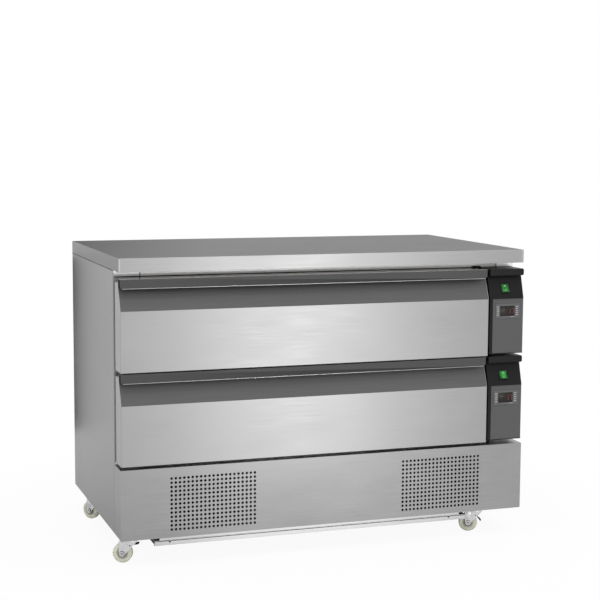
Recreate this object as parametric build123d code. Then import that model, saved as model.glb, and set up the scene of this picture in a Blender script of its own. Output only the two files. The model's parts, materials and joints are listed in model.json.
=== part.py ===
from build123d import *
import math
import os

# Refrigerated counter on castors: two insulated drawers under a worktop, each with its own
# controls beside it, and the cooling machine behind a perforated plinth.
# Millimetres. X runs right, Y runs back, Z runs up, and the origin is on the floor under
# the middle of the counter.

# Overall
counter_width = 1215.0
counter_depth = 700.0
counter_height = 850.0
body_sheet = 1.2

# How far a cut runs past the face that it opens
past = 1.0

# Worktop
worktop_thickness = 38.0
worktop_setback = 10.0
worktop_sheet = 1.5
worktop_return = 22.0

# Face frame and case
frame_setback = 80.0
left_stile = 74.5
right_stile = 54.5
seam = 1.5
rear_flange = 35.0
rail_face = 18.5
rail_groove = 4.1
rail_groove_depth = 6.0
rail_height = 40.5
rail_top_flange = 30.0
bay_flange = 15.0
vent_slots = 9
vent_pitch = 14.0
vent_length = 180.0
vent_height = 5.0
vent_x = 300.0
vent_z = 110.0

# Drawer fronts
drawers_drop = 56.0
drawer_gap = 3.5
front_depth = 67.0
side_gap = 2.5
control_gap = 4.0
gasket_width = 12.0
gasket_clearance = 0.4
lip_height = 25.0
lip_inset = 6.0
lip_corner = 8.0
recess_depth = 25.0
slope_height = 62.0
handle_sheet = 1.5
top_flange = 28.0
back_step = 12.0
panel_tab = 15.0
core_clearance = 0.6

# Drawer tubs
rim_drop = 26.0
tub_rise = 19.0
tub_back_gap = 52.6
tub_wall = 35.0
tub_front_wall = 20.0
tub_floor = 30.0
tub_corner = 25.0
tub_floor_gap = 3.0
bay_right_land = 39.2
runner_space = 11.8

# Lids and evaporators
lid_rise = 14.0
lid_thickness = 18.0
lid_front_gap = 6.0
lid_overhang = 3.2
lid_skirt = 35.0
rim_clearance = 0.5
plate_thickness = 3.0
plate_margin = 15.0
coil_tube = 8.0
coil_rows = 9
coil_bend = 20.0
coil_margin = 25.0
coil_front_margin = 21.0
coil_sink = 0.5
return_lane = 30.0
outlet_reach = 48.0

# Telescopic runners
runner_height = 45.0
runner_rise = 66.0
runner_sheet = 1.4
runner_flange = 9.5
runner_step = 1.2
runner_lift = 2.2
runner_gap = 0.3
runner_front_gap = 8.0
runner_overhang = 4.2
cage_length = 60.0
cage_width = 4.0

# Control column
control_width = 110.0
control_lip = 20.0
control_recess = 20.0
control_rise = 1.0
control_gap_below = 7.5
control_wall = 2.5
control_margin = 10.0
panel_thickness = 2.5
panel_setback = 1.5
panel_bottom_margin = 1.5
display_width = 79.5
display_height = 42.0
display_drop = 15.0
display_left = 9.0
display_body_width = 71.0
display_body_height = 29.0
display_body_depth = 58.0
display_fit = 0.2
peg_radius = 4.0
peg_x = 22.0
tab_length = 21.0
tab_height = 9.0
tab_depth = 10.0

# Rocker switches
rocker_width = 25.6
rocker_radius = 14.5
rocker_gap = 0.4
rocker_side_gap = 0.5
rocker_depth = 3.5
rocker_face = 5.5
rocker_valley = 3.8
rocker_bottom = 5.0
rocker_bottom_half = 8.0
rocker_flank = 13.0
rocker_tilt = 9.0
rocker_x = 53.0
rocker_drop = 4.0
rocker_pin = 1.5
rocker_pin_length = 1.4
pin_clearance = 0.05
collar_wall = 2.0
collar_depth = 10.0
rocker_frame_rise = 1.0

# Plinth
plinth_height = 197.0
plinth_gap = 8.5
plinth_return = 20.0
plinth_seam = 2.0
hole_diameter = 7.2
hole_pitch = 12.0
hole_columns = 21
grid_inset = 262.0
grid_drop = 27.3
grid_foot = 18.0

# Base pan and condensate tray
pan_flange = 25.0
pan_gap = 1.0
tray_inset_left = 93.5
tray_inset_right = 180.5
tray_rail_height = 14.0
tray_drop = 21.0
tray_strip_inset_left = 14.0
tray_strip_inset_right = 20.0
tray_strip_gap = 0.9
tray_setback = 1.0
tray_flange = 10.0
tray_depth = 280.0
tray_wall = 2.0
tray_end_inset = 2.0
tray_screw_inset_left = 43.0
tray_screw_inset_right = 53.0
tray_screw_height = 9.8
screw_head_radius = 3.5

# Castors
wheel_radius = 27.5
wheel_width = 20.0
wheel_bore = 4.05
wheel_round = 3.0
wheel_hub = 12.0
wheel_groove = 1.6
groove_inner = 13.0
groove_outer = 16.5
wheel_rim = 17.5
wheel_rim_step = 0.6
wheel_crown_gap = 7.2
castor_trail = 22.0
castor_left_inset = 37.5
castor_right_inset = 121.5
castor_front_inset = 52.0
castor_rear_inset = 170.0
front_turn = -23.0
rear_left_turn = -50.0
rear_right_turn = -35.0
plate_size = 60.0
castor_plate = 2.5
race_radius = 19.0
race_height = 5.5
kingpin = 4.0
kingpin_head = 7.0
kingpin_head_height = 3.0
swivel_clearance = 0.3
crown_radius = 20.0
crown_thickness = 4.5
cheek = 2.0
cheek_gap = 1.2
cheek_end = 9.0
cheek_shoulder = 5.0
cheek_neck = 1.0
cheek_toe = 8.1
cheek_toe_drop = 2.0
axle_radius = 4.0
axle_proud = 1.0
axle_hole_clearance = 0.1
nut_radius = 6.5
nut_height = 3.5
plate_bolt_radius = 4.0
plate_bolt_height = 2.5
plate_bolt_half = 23.0
pedal_length = 24.0
pedal_width = 16.0
pedal_lever_width = 10.0
pedal_lever_end = 2.0
pedal_sheet = 2.2
pedal_hub = 3.3
pedal_hub_gap = 0.4
pedal_pin = 1.8
pedal_pin_proud = 0.5
pedal_wheel_gap = 0.67
pedal_tread = 9.0
pedal_up = 12.0
pedal_down = -48.0

# Cooling machine
condenser_width = 240.0
condenser_depth = 40.0
condenser_height = 185.0
condenser_behind = 8.0
fin_pitch = 10.0
fin_thickness = 0.8
fin_inset = 1.0
fin_foot = 8.0
fin_top_gap = 6.0
end_plate = 1.5
condenser_tube = 9.0
condenser_tube_end = 3.0
condenser_rows = 6
condenser_row_pitch = 29.0
condenser_foot = 20.0
stub_length = 10.0
stub_wall = 1.0
fan_radius = 54.0
fan_rise = 2.0
fan_gap = 4.0
fan_tip_gap = 3.0
fan_hub_radius = 17.0
fan_hub_length = 24.0
fan_blades = 5
fan_blade_width = 26.0
fan_blade_sheet = 1.6
fan_blade_angle = 32.0
fan_blade_sink = 4.6
fan_blade_tip = 0.6
fan_bore = 3.05
shaft_radius = 3.0
shaft_start = 6.0
collar_length = 30.0
collar_sheet = 1.5
motor_radius = 27.0
motor_length = 42.0
motor_gap = 12.0
stay_radius = 2.5
stay_circle = 68.0
stay_arm = 4.0
stay_sink = 3.0
compressor_y = 60.0
compressor_radius = 66.0
compressor_height = 155.0
compressor_shoulder = 24.0
compressor_foot_height = 14.0
compressor_foot_radius = 10.0
compressor_foot_x = 78.0
compressor_foot_y = 55.0
compressor_plate = 2.5
compressor_plate_margin = 12.0
suction_rise = 69.75
discharge_rise = 116.25
terminal_cover = 45.0
terminal_depth = 18.0
terminal_rise = 30.0
pipe_diameter = 8.0
pipe_bend = 14.0
pipe_short_bend = 8.0
pipe_hole_clearance = 3.0
liquid_lane = 25.5
hot_gas_lane = 30.0
discharge_lane = 24.0
suction_lane = 94.0
riser_back = 28.0
box_width = 140.0
box_depth = 160.0
box_height = 100.0
box_inset = 237.5
box_y = -100.0
box_wall = 1.5
box_skirt = 10.0
gland_inset = 127.5
gland_z = 130.0
gland_bore = 8.5
gland_nut = 11.0
gland_hole = 7.7
gland_clearance = 0.1
gland_lock = 5.0
gland_length = 18.0

# Places worked out from the sizes above
half_width = counter_width / 2
front = -counter_depth / 2
back = counter_depth / 2
underside = counter_height - worktop_thickness
castor_height = (2 * wheel_radius + wheel_crown_gap + crown_thickness + swivel_clearance
                 + race_height + castor_plate)
plinth_top = castor_height + plinth_height
drawer_pitch = (counter_height - drawers_drop - plinth_top - plinth_gap + drawer_gap) / 2
front_height = drawer_pitch - drawer_gap
control_height = drawer_pitch - control_gap_below
tub_height = front_height - rim_drop - tub_rise
bay_names = ["upper", "lower"]
bay_tops = [counter_height - drawers_drop - i * drawer_pitch for i in range(2)]
shelf_tops = [top - rim_drop - tub_height - tub_floor_gap for top in bay_tops]
rail_bottom = underside - rail_height
pan_top = castor_height + body_sheet
frame_face = front + frame_setback
frame_inside = frame_face + body_sheet
back_inside = back - 2 * body_sheet
stile_left_edge = -half_width + left_stile
stile_right_edge = half_width - right_stile
side_inside = half_width - body_sheet
drawer_left = -half_width + side_gap
control_right = half_width - side_gap
control_left = control_right - control_width
drawer_right = control_left - control_gap
bay_left = stile_left_edge + body_sheet
bay_right = drawer_right - bay_right_land
tub_left = bay_left + runner_space
tub_right = bay_right - runner_space
tub_front = front + front_depth
tub_back = back_inside - tub_back_gap
lid_front = frame_inside + lid_front_gap
lid_back = tub_back + lid_overhang
plate_front = lid_front + plate_margin
plate_back = lid_back - lid_skirt - plate_margin
outlet_y = plate_back + outlet_reach
runner_front = frame_inside + runner_front_gap
runner_back = tub_back + runner_overhang
riser_y = back_inside - riser_back
grid_x = half_width - grid_inset
condenser_x0 = -grid_x - condenser_width / 2
condenser_x1 = condenser_x0 + condenser_width
liquid_x = condenser_x1 + stub_length + liquid_lane
hot_gas_x = liquid_x + hot_gas_lane
compressor_x = hot_gas_x + discharge_lane + stub_length + compressor_radius
suction_x = compressor_x + compressor_radius + stub_length + suction_lane


def slab(x0, x1, y0, y1, z0, z1):
    """A block between two opposite corners."""
    middle = ((x0 + x1) / 2, (y0 + y1) / 2, (z0 + z1) / 2)
    return Pos(*middle) * Box(abs(x1 - x0), abs(y1 - y0), abs(z1 - z0))


def along_x(outline, x0, x1):
    """A bar from x0 to x1 whose section is an outline of (y, z) points."""
    face = make_face(Polyline(*[(x0, y, z) for y, z in outline], close=True))
    return extrude(face, x1 - x0, dir=(1, 0, 0))


def along_y(outline, y0, y1):
    """A bar from y0 to y1 whose section is an outline of (x, z) points."""
    face = make_face(Polyline(*[(x, y0, z) for x, z in outline], close=True))
    return extrude(face, y1 - y0, dir=(0, 1, 0))


def rod_x(radius, x0, x1, y, z):
    return Pos((x0 + x1) / 2, y, z) * Rot(0, 90, 0) * Cylinder(radius, abs(x1 - x0))


def rod_y(radius, y0, y1, x, z):
    return Pos(x, (y0 + y1) / 2, z) * Rot(90, 0, 0) * Cylinder(radius, abs(y1 - y0))


def rod_z(radius, z0, z1, x, y):
    return Pos(x, y, (z0 + z1) / 2) * Cylinder(radius, abs(z1 - z0))


def folded(points, thickness):
    """The outline of a sheet folded along these points, lying on their left side."""
    normals = []
    for (u0, v0), (u1, v1) in zip(points, points[1:]):
        run = math.hypot(u1 - u0, v1 - v0)
        normals.append((-(v1 - v0) / run, (u1 - u0) / run))
    other_side = []
    for i, (u, v) in enumerate(points):
        before = normals[max(i - 1, 0)]
        after = normals[min(i, len(normals) - 1)]
        mitre = 1 + before[0] * after[0] + before[1] * after[1]
        du = thickness * (before[0] + after[0]) / mitre
        dv = thickness * (before[1] + after[1]) / mitre
        other_side.append((u + du, v + dv))
    return points + other_side[::-1]


def pipe(points, diameter, bends):
    """A tube of straight runs and round bends."""
    path = FilletPolyline(*points, radius=bends)
    return sweep(Plane(path @ 0, z_dir=path % 0) * Circle(diameter / 2), path=path)


# Worktop: a folded stainless skin over a board
def worktop():
    y0 = front + worktop_setback
    skin = slab(-half_width, half_width, y0, back, underside, counter_height)
    reach = worktop_sheet + worktop_return
    mouth = slab(-half_width + reach, half_width - reach, y0 + reach, back - reach,
                 underside - past, underside + worktop_sheet)
    return skin - worktop_core() - mouth


def worktop_core():
    return slab(-half_width + worktop_sheet, half_width - worktop_sheet,
                front + worktop_setback + worktop_sheet, back - worktop_sheet,
                underside + worktop_sheet, counter_height - worktop_sheet)


# Side panels: one sheet each, folded round the front as a stile and round the back
def side_panel(side):
    stile = left_stile if side < 0 else right_stile
    outer = side * half_width
    points = [(outer - side * stile, frame_face), (outer, frame_face),
              (outer, back), (outer - side * rear_flange, back)]
    outline = folded(points if side > 0 else points[::-1], body_sheet)
    face = make_face(Polyline(*[(x, y, castor_height) for x, y in outline], close=True))
    return extrude(face, underside - castor_height, dir=(0, 0, 1))


def back_panel():
    panel = slab(-side_inside, side_inside, back_inside, back_inside + body_sheet,
                 pan_top, underside)
    for row in range(vent_slots):
        z = vent_z + row * vent_pitch
        for x in (-vent_x, vent_x):
            panel -= slab(x - vent_length / 2, x + vent_length / 2,
                          back_inside - past, back + past, z, z + vent_height)
    return panel - rod_y(gland_hole, back_inside - past, back + past, gland_x, gland_z)


def top_rail():
    groove_top = underside - rail_face
    groove_bottom = groove_top - rail_groove
    points = [(frame_face + rail_top_flange, underside), (frame_face, underside),
              (frame_face, groove_top), (frame_face + rail_groove_depth, groove_top),
              (frame_face + rail_groove_depth, groove_bottom), (frame_face, groove_bottom),
              (frame_face, rail_bottom)]
    return along_x(folded(points, body_sheet), stile_left_edge + seam, stile_right_edge - seam)


def bay_wall_left():
    wall = slab(stile_left_edge, bay_left, frame_inside, back_inside,
                shelf_tops[1], underside)
    flange = slab(stile_left_edge - bay_flange, stile_left_edge,
                  frame_inside, frame_inside + body_sheet, shelf_tops[1], underside)
    return wall + flange


def bay_wall_right():
    wall = slab(bay_right, bay_right + body_sheet, frame_inside, back_inside,
                shelf_tops[1], underside)
    rail_notch = slab(bay_right - past, bay_right + body_sheet + past,
                      frame_inside - past, frame_face + rail_top_flange,
                      rail_bottom, underside + past)
    plate = slab(bay_right, stile_right_edge - seam, frame_face, frame_inside,
                 shelf_tops[1], rail_bottom)
    return wall - rail_notch + plate


def riser_holes(shelf_top):
    radius = pipe_diameter / 2 + pipe_hole_clearance
    return [rod_z(radius, shelf_top - body_sheet - past, shelf_top + past, x, riser_y)
            for x in (liquid_x, suction_x)]


def middle_shelf():
    z = shelf_tops[0]
    flange_bottom = bay_tops[1] - rim_drop + 2 * tub_floor_gap
    shelf = slab(bay_left, bay_right, frame_face, back_inside, z - body_sheet, z)
    shelf += slab(bay_left, bay_right, frame_face, frame_inside, flange_bottom, z)
    for hole in riser_holes(z):
        shelf -= hole
    return shelf


def bottom_deck():
    z = shelf_tops[1]
    deck = slab(-side_inside, side_inside, frame_inside, back_inside, z - body_sheet, z)
    deck += slab(stile_left_edge + seam, stile_right_edge - seam, frame_face, frame_inside,
                 plinth_top, z)
    for hole in riser_holes(z):
        deck -= hole
    return deck


# Lids: an insulated lid hangs over each drawer, and its skirt closes on the tub's rim
def lid(top):
    under = top + lid_rise - lid_thickness
    rim = top - rim_drop + rim_clearance
    block = slab(bay_left, bay_right, lid_front, lid_back, rim, top + lid_rise)
    block -= slab(bay_left + lid_skirt, bay_right - lid_skirt,
                  lid_front - past, lid_back - lid_skirt, rim - past, under)
    notch = coil_tube / 2 + pipe_hole_clearance
    for x in (liquid_x, suction_x):
        block -= slab(x - notch, x + notch, lid_back - lid_skirt - past, lid_back + past,
                      rim + past, under)
    return block


def coil_level(top):
    """The height of the coil's centreline, brazed to the underside of the cold plate."""
    return top + lid_rise - lid_thickness - plate_thickness - coil_tube / 2 + coil_sink


def evaporator(top):
    """A cold plate under the lid, with the coil brazed to it."""
    under = top + lid_rise - lid_thickness
    x0 = bay_left + lid_skirt + plate_margin
    x1 = bay_right - lid_skirt - plate_margin
    plate = slab(x0, x1, plate_front, plate_back, under - plate_thickness, under)
    z = coil_level(top)
    left = x0 + coil_margin
    right = x1 - coil_margin
    first = plate_back - coil_margin
    last = plate_front + coil_front_margin
    coil_pitch = (first - last) / coil_rows
    points = [(liquid_x, outlet_y, z), (liquid_x, first, z), (left, first, z)]
    for row in range(coil_rows):
        y = first - (row + 1) * coil_pitch
        ends = (left, right - return_lane) if row % 2 == 0 else (right - return_lane, left)
        points += [(ends[0], y, z), (ends[1], y, z)]
    points[-1] = (right, last, z)
    points += [(right, first, z), (suction_x, first, z), (suction_x, outlet_y, z)]
    return plate + pipe(points, coil_tube, coil_bend)


# Runners: a channel on the bay wall, a middle member, and an inner member on the tub
def runner_section(wall_x, toward, web, flange, z, height):
    """A web with two flanges, each given as two distances from the bay wall."""
    member = slab(wall_x + toward * web[0], wall_x + toward * web[1],
                  runner_front, runner_back, z - height / 2, z + height / 2)
    for sign in (1, -1):
        edge = z + sign * height / 2
        member += slab(wall_x + toward * flange[0], wall_x + toward * flange[1],
                       runner_front, runner_back, edge - sign * runner_sheet, edge)
    return member


def runner_member(kind, wall_x, toward, top):
    z = top - rim_drop - tub_height + runner_rise
    ledge = 2 * (runner_sheet + runner_step)
    if kind == "fixed":
        return runner_section(wall_x, toward, (0, runner_sheet), (0, runner_flange),
                              z, runner_height)
    if kind == "inner":
        web = (runner_space - runner_sheet, runner_space)
        flange = (runner_lift + runner_sheet + runner_gap, runner_space)
        return runner_section(wall_x, toward, web, flange, z, runner_height - 2 * ledge)
    height = runner_height - ledge
    member = runner_section(wall_x, toward, (runner_lift, runner_lift + runner_sheet),
                            (runner_lift, runner_flange), z, height)
    x0 = wall_x + toward * (runner_flange - cage_width)
    x1 = wall_x + toward * runner_flange
    cages = (runner_front, (runner_front + runner_back - cage_length) / 2,
             runner_back - cage_length)
    for sign in (1, -1):
        outer = z + sign * (height / 2)
        inner = z + sign * (height / 2 - runner_sheet)
        rise = sign * (runner_step - runner_gap)
        for start in cages:
            member += slab(x0, x1, start, start + cage_length, outer, outer + rise)
            member += slab(x0, x1, start, start + cage_length, inner, inner - rise)
    return member


def runner_pair(kind, top):
    return [runner_member(kind, bay_left, 1, top), runner_member(kind, bay_right, -1, top)]


# Drawer fronts. Outlines are (distance behind the face, height from the drawer's top)
def in_front(outline, top):
    return [(front + d, top + z) for d, z in outline]


slope_top = -lip_height
slope_bottom = -lip_height - slope_height


def drawer_panel(top):
    """The stainless front: flat face, floor and two side cheeks that follow the recess."""
    side = [(0, -front_height), (0, slope_bottom), (recess_depth, slope_top),
            (recess_depth, -handle_sheet), (top_flange, -handle_sheet),
            (top_flange, -back_step), (front_depth, -back_step), (front_depth, -front_height)]
    panel = slab(drawer_left, drawer_right, front, front + body_sheet,
                 top - front_height, top + slope_bottom)
    panel += slab(drawer_left, drawer_right, front, front + front_depth,
                  top - front_height, top - front_height + body_sheet)
    panel += along_x(in_front(side, top), drawer_left, drawer_left + body_sheet)
    panel += along_x(in_front(side, top), drawer_right - body_sheet, drawer_right)
    return panel


def drawer_handle(top):
    """The grip profile: a lip with a hem, the finger gap behind it and the slope below."""
    x0 = drawer_left + body_sheet
    x1 = drawer_right - body_sheet
    run = [(handle_sheet, -handle_sheet), (recess_depth, -handle_sheet),
           (recess_depth, slope_top), (body_sheet, slope_bottom),
           (body_sheet, slope_bottom - panel_tab)]
    grip = along_x(in_front(folded(run, handle_sheet), top), x0, x1)
    grip += slab(x0, x1, front + recess_depth, front + top_flange, top - handle_sheet, top)
    grip += slab(x0, x1, front + top_flange - handle_sheet, front + top_flange,
                 top - back_step, top)
    lip_x0 = drawer_left + lip_inset
    lip_x1 = drawer_right - lip_inset
    lip = slab(lip_x0, lip_x1, front, front + handle_sheet, top - lip_height, top)
    lower = lip.edges().filter_by(Axis.Y).group_by(Axis.Z)[0]
    lip = fillet(lower, lip_corner)
    hem = rod_x(handle_sheet, lip_x0 + lip_corner, lip_x1 - lip_corner,
                front + handle_sheet, top - lip_height + handle_sheet)
    return grip + lip + hem


def drawer_core(top):
    """Foam that fills the drawer front behind its skin."""
    gap = handle_sheet + core_clearance
    outline = [(body_sheet + gap, -front_height + body_sheet), (body_sheet + gap, slope_bottom),
               (recess_depth + 2 * gap, slope_top + gap), (recess_depth + 2 * gap, -back_step),
               (front_depth, -back_step), (front_depth, -front_height + body_sheet)]
    return along_x(in_front(outline, top), drawer_left + body_sheet, drawer_right - body_sheet)


def drawer_gasket(top):
    """The rubber seal round the back of the front, closing on the face frame."""
    y1 = frame_face - gasket_clearance
    x0 = drawer_left + side_gap
    x1 = drawer_right - side_gap
    z0 = top - front_height + 2 * body_sheet
    z1 = top - back_step - body_sheet
    w = gasket_width
    ring = slab(x0, x1, tub_front, y1, z0, z1)
    return ring - slab(x0 + w, x1 - w, tub_front - past, y1 + past, z0 + w, z1 - w)


def drawer_tub(top):
    """The insulated container that slides out with the drawer."""
    rim = top - rim_drop
    tub = slab(tub_left, tub_right, tub_front, tub_back, rim - tub_height, rim)
    inside = slab(tub_left + tub_wall, tub_right - tub_wall, tub_front + tub_front_wall,
                  tub_back - tub_wall, rim - tub_height + tub_floor, rim + past)
    inside = fillet(inside.edges().filter_by(Axis.Z), tub_corner)
    return tub - inside


# Control column: a moulded housing beside each drawer, with its panel, display and switch
control_slope_bottom = slope_bottom - control_rise
slope_rise = -control_lip - control_slope_bottom
slope_length = math.hypot(control_recess, slope_rise)
display_x = control_left + control_margin + display_left


def rocker_plane(top):
    """The middle of the sloping face, with X along it, Y up the slope and Z outwards."""
    drop = (control_slope_bottom - control_lip) / 2 - rocker_drop
    depth = control_recess * (drop - control_slope_bottom) / slope_rise
    centre = (control_left + rocker_x, front + depth, top + control_rise + drop)
    outward = (0, -slope_rise / slope_length, control_recess / slope_length)
    return Plane(origin=centre, x_dir=(1, 0, 0), z_dir=outward)


def display_box(top, width, height, d0, d1):
    x0 = display_x + (display_width - width) / 2
    z1 = top + control_rise + control_slope_bottom - display_drop - (display_height - height) / 2
    return slab(x0, x0 + width, front + d0, front + d1, z1 - height, z1)


def display_hole(top):
    return display_box(top, display_body_width + 2 * display_fit,
                       display_body_height + 2 * display_fit, -past, display_body_depth)


def control_bezel(name, top):
    high = top + control_rise
    outline = [(0, 0), (0, -control_lip), (control_recess, -control_lip),
               (0, control_slope_bottom), (0, -control_height), (frame_setback, -control_height),
               (frame_setback, 0)]
    body = along_x(in_front(outline, high), control_left, control_right)
    w = control_wall
    wall = panel_setback + panel_thickness + w
    hollow = [(control_recess + w, -w), (control_recess + w, -control_lip - w),
              (wall, control_slope_bottom), (wall, -control_height + w),
              (frame_setback + past, -control_height + w), (frame_setback + past, -w)]
    body -= along_x(in_front(hollow, high), control_left + w, control_right - w)
    body -= slab(control_left + control_margin, control_right + past, front - past,
                 front + panel_setback + panel_thickness,
                 high - control_height + panel_bottom_margin, high + control_slope_bottom)
    place = rocker_plane(top)
    half = rocker_radius + rocker_gap
    width = rocker_width + 2 * rocker_side_gap
    collar = place * Pos(0, 0, (rocker_frame_rise - collar_depth) / 2) * Box(
        width + 2 * collar_wall, 2 * (half + collar_wall), collar_depth + rocker_frame_rise)
    opening = place * Box(width, 2 * half, 3 * collar_depth)
    body = body + collar - opening
    pin_hole = Rot(0, 90, 0) * Cylinder(rocker_pin + pin_clearance, width + 3 * collar_wall)
    body -= place * Pos(0, 0, -rocker_depth) * pin_hole
    body -= display_hole(top)
    peg_end = plinth_top if name == "lower" else high - drawer_pitch
    body += rod_z(peg_radius, peg_end, high - control_height + w / 2,
                  control_left + peg_x, front + frame_setback / 2)
    if name == "upper":
        body += slab(control_left - tab_length, control_left + w, frame_face - tab_depth,
                     frame_face, high - w, high + tab_height)
    return body


def control_panel(top):
    high = top + control_rise
    plate = slab(control_left + control_margin, control_right, front + panel_setback,
                 front + panel_setback + panel_thickness,
                 high - control_height + panel_bottom_margin, high + control_slope_bottom)
    return plate - display_hole(top)


def thermostat(top):
    face = display_box(top, display_width, display_height, 0, panel_setback)
    body = display_box(top, display_body_width, display_body_height,
                       panel_setback, panel_setback + display_body_depth)
    return face + body


def rocker(top):
    """A rocker with a shallow valley in its face, tilted to its on side."""
    low = [(-rocker_bottom_half, -rocker_bottom), (rocker_bottom_half, -rocker_bottom)]
    edge = math.sqrt(rocker_radius ** 2 - rocker_face ** 2)
    valley = (0, rocker_valley)
    outline = [Line(low[0], low[1]), ThreePointArc(low[1], (rocker_flank, 0), (edge, rocker_face)),
               Line((edge, rocker_face), valley), Line(valley, (-edge, rocker_face)),
               ThreePointArc((-edge, rocker_face), (-rocker_flank, 0), low[0])]
    section = Plane(origin=(-rocker_width / 2, 0, 0), x_dir=(0, 1, 0), z_dir=(1, 0, 0))
    body = extrude(section * make_face(outline), rocker_width, dir=(1, 0, 0))
    pins = Rot(0, 90, 0) * Cylinder(rocker_pin, rocker_width + 2 * rocker_pin_length)
    return rocker_plane(top) * Pos(0, 0, -rocker_depth) * Rot(-rocker_tilt, 0, 0) * (body + pins)


# Plinth cover: perforated in front, wrapped round both ends, with a ledge on top
hole_rows = int((plinth_height - grid_drop - grid_foot - hole_diameter) / hole_pitch) + 1


def perforated_sheet(x0, x1, z0, z1):
    outer = Wire(Polyline((x0, front, z0), (x1, front, z0), (x1, front, z1), (x0, front, z1),
                          close=True).edges())
    holes = []
    for middle in (-grid_x, grid_x):
        for column in range(hole_columns):
            x = middle + (column - (hole_columns - 1) / 2) * hole_pitch
            for row in range(hole_rows):
                z = plinth_top - grid_drop - hole_diameter / 2 - row * hole_pitch
                holes.append(Wire.make_circle(hole_diameter / 2,
                                              Plane((x, front, z), z_dir=(0, 1, 0))))
    return extrude(Face(outer, holes), body_sheet, dir=(0, 1, 0))


def plinth_cover():
    x0 = -half_width
    x1 = half_width
    y1 = frame_face - plinth_seam
    cover = perforated_sheet(x0, x1, castor_height, plinth_top)
    inner = front + body_sheet
    cover += slab(x0, x0 + body_sheet, inner, y1, castor_height, plinth_top)
    cover += slab(x1 - body_sheet, x1, inner, y1, castor_height, plinth_top)
    cover += slab(x0 + body_sheet, x1 - body_sheet, inner, frame_face,
                  plinth_top - body_sheet, plinth_top)
    cover += slab(x0 + body_sheet, x1 - body_sheet, inner, inner + plinth_return,
                  castor_height, castor_height + body_sheet)
    return cover


def base_pan():
    x1 = side_inside
    y0 = front + body_sheet + plinth_return
    pan = slab(-x1, x1, y0, back_inside, castor_height, pan_top)
    lip_z = pan_top + pan_flange
    for x in (-x1 + pan_gap, x1 - pan_gap - body_sheet):
        pan += slab(x, x + body_sheet, y0, back_inside, castor_height, lip_z)
    for y in (y0, back_inside - body_sheet):
        pan += slab(-x1 + pan_gap, x1 - pan_gap, y, y + body_sheet, castor_height, lip_z)
    for x0, x1 in ((-half_width, stile_left_edge), (stile_right_edge, half_width)):
        pan -= slab(x0, x1, frame_face, frame_inside, castor_height - past, lip_z + past)
    return pan


# Condensate tray: a black pan under the base with a stainless rail across its front
tray_left = -half_width + tray_inset_left
tray_right = half_width - tray_inset_right
tray_bottom = castor_height - tray_drop
tray_front_y = front + tray_setback


def tray_front():
    rail_top = tray_bottom + tray_rail_height
    y = tray_front_y
    points = [(y + tray_flange, rail_top), (y, rail_top), (y, tray_bottom),
              (y + tray_flange, tray_bottom)]
    rail = along_x(folded(points, body_sheet), tray_left, tray_right)
    x0 = tray_left + tray_strip_inset_left
    x1 = tray_right - tray_strip_inset_right
    rail += slab(x0, x1, y, y + body_sheet, rail_top + tray_strip_gap, castor_height)
    rail += slab(x0, x1, y + 2 * body_sheet, y + 3 * body_sheet, rail_top - body_sheet, castor_height)
    rail += slab(x0, x1, y, y + 3 * body_sheet, castor_height - body_sheet, castor_height)
    heads = [rod_y(screw_head_radius, front, y, x, tray_bottom + tray_screw_height)
             for x in (tray_left + tray_screw_inset_left, tray_right - tray_screw_inset_right)]
    return [rail] + heads


def condensate_tray():
    x0 = tray_left + tray_end_inset
    x1 = tray_right - tray_end_inset
    y0 = tray_front_y + tray_flange
    y1 = y0 + tray_depth
    z0 = tray_bottom + body_sheet
    w = tray_wall
    pan = slab(x0, x1, y0, y1, z0, castor_height)
    return pan - slab(x0 + w, x1 - w, y0 + w, y1 - w, z0 + w, castor_height + past)


# Castors, built with the swivel axis at the origin and the wheel trailing towards -X
crown_top = castor_height - castor_plate - race_height - swivel_clearance
crown_bottom = crown_top - crown_thickness
cheek_inner = wheel_width / 2 + cheek_gap
cheek_outer = cheek_inner + cheek
pedal_reach = wheel_radius + pedal_hub + pedal_wheel_gap
pedal_height = wheel_radius + math.sqrt(pedal_reach ** 2 - castor_trail ** 2)


def castor_plate_solid():
    half = plate_size / 2
    z1 = castor_height - castor_plate
    body = slab(-half, half, -half, half, z1, castor_height)
    body += rod_z(race_radius, z1 - race_height, z1, 0, 0)
    head_top = crown_bottom - swivel_clearance
    body += rod_z(kingpin, head_top - kingpin_head_height, z1, 0, 0)
    body += rod_z(kingpin_head, head_top - kingpin_head_height, head_top, 0, 0)
    for x in (-plate_bolt_half, plate_bolt_half):
        for y in (-plate_bolt_half, plate_bolt_half):
            body += rod_z(plate_bolt_radius, z1 - plate_bolt_height, z1, x, y)
    return body


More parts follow.
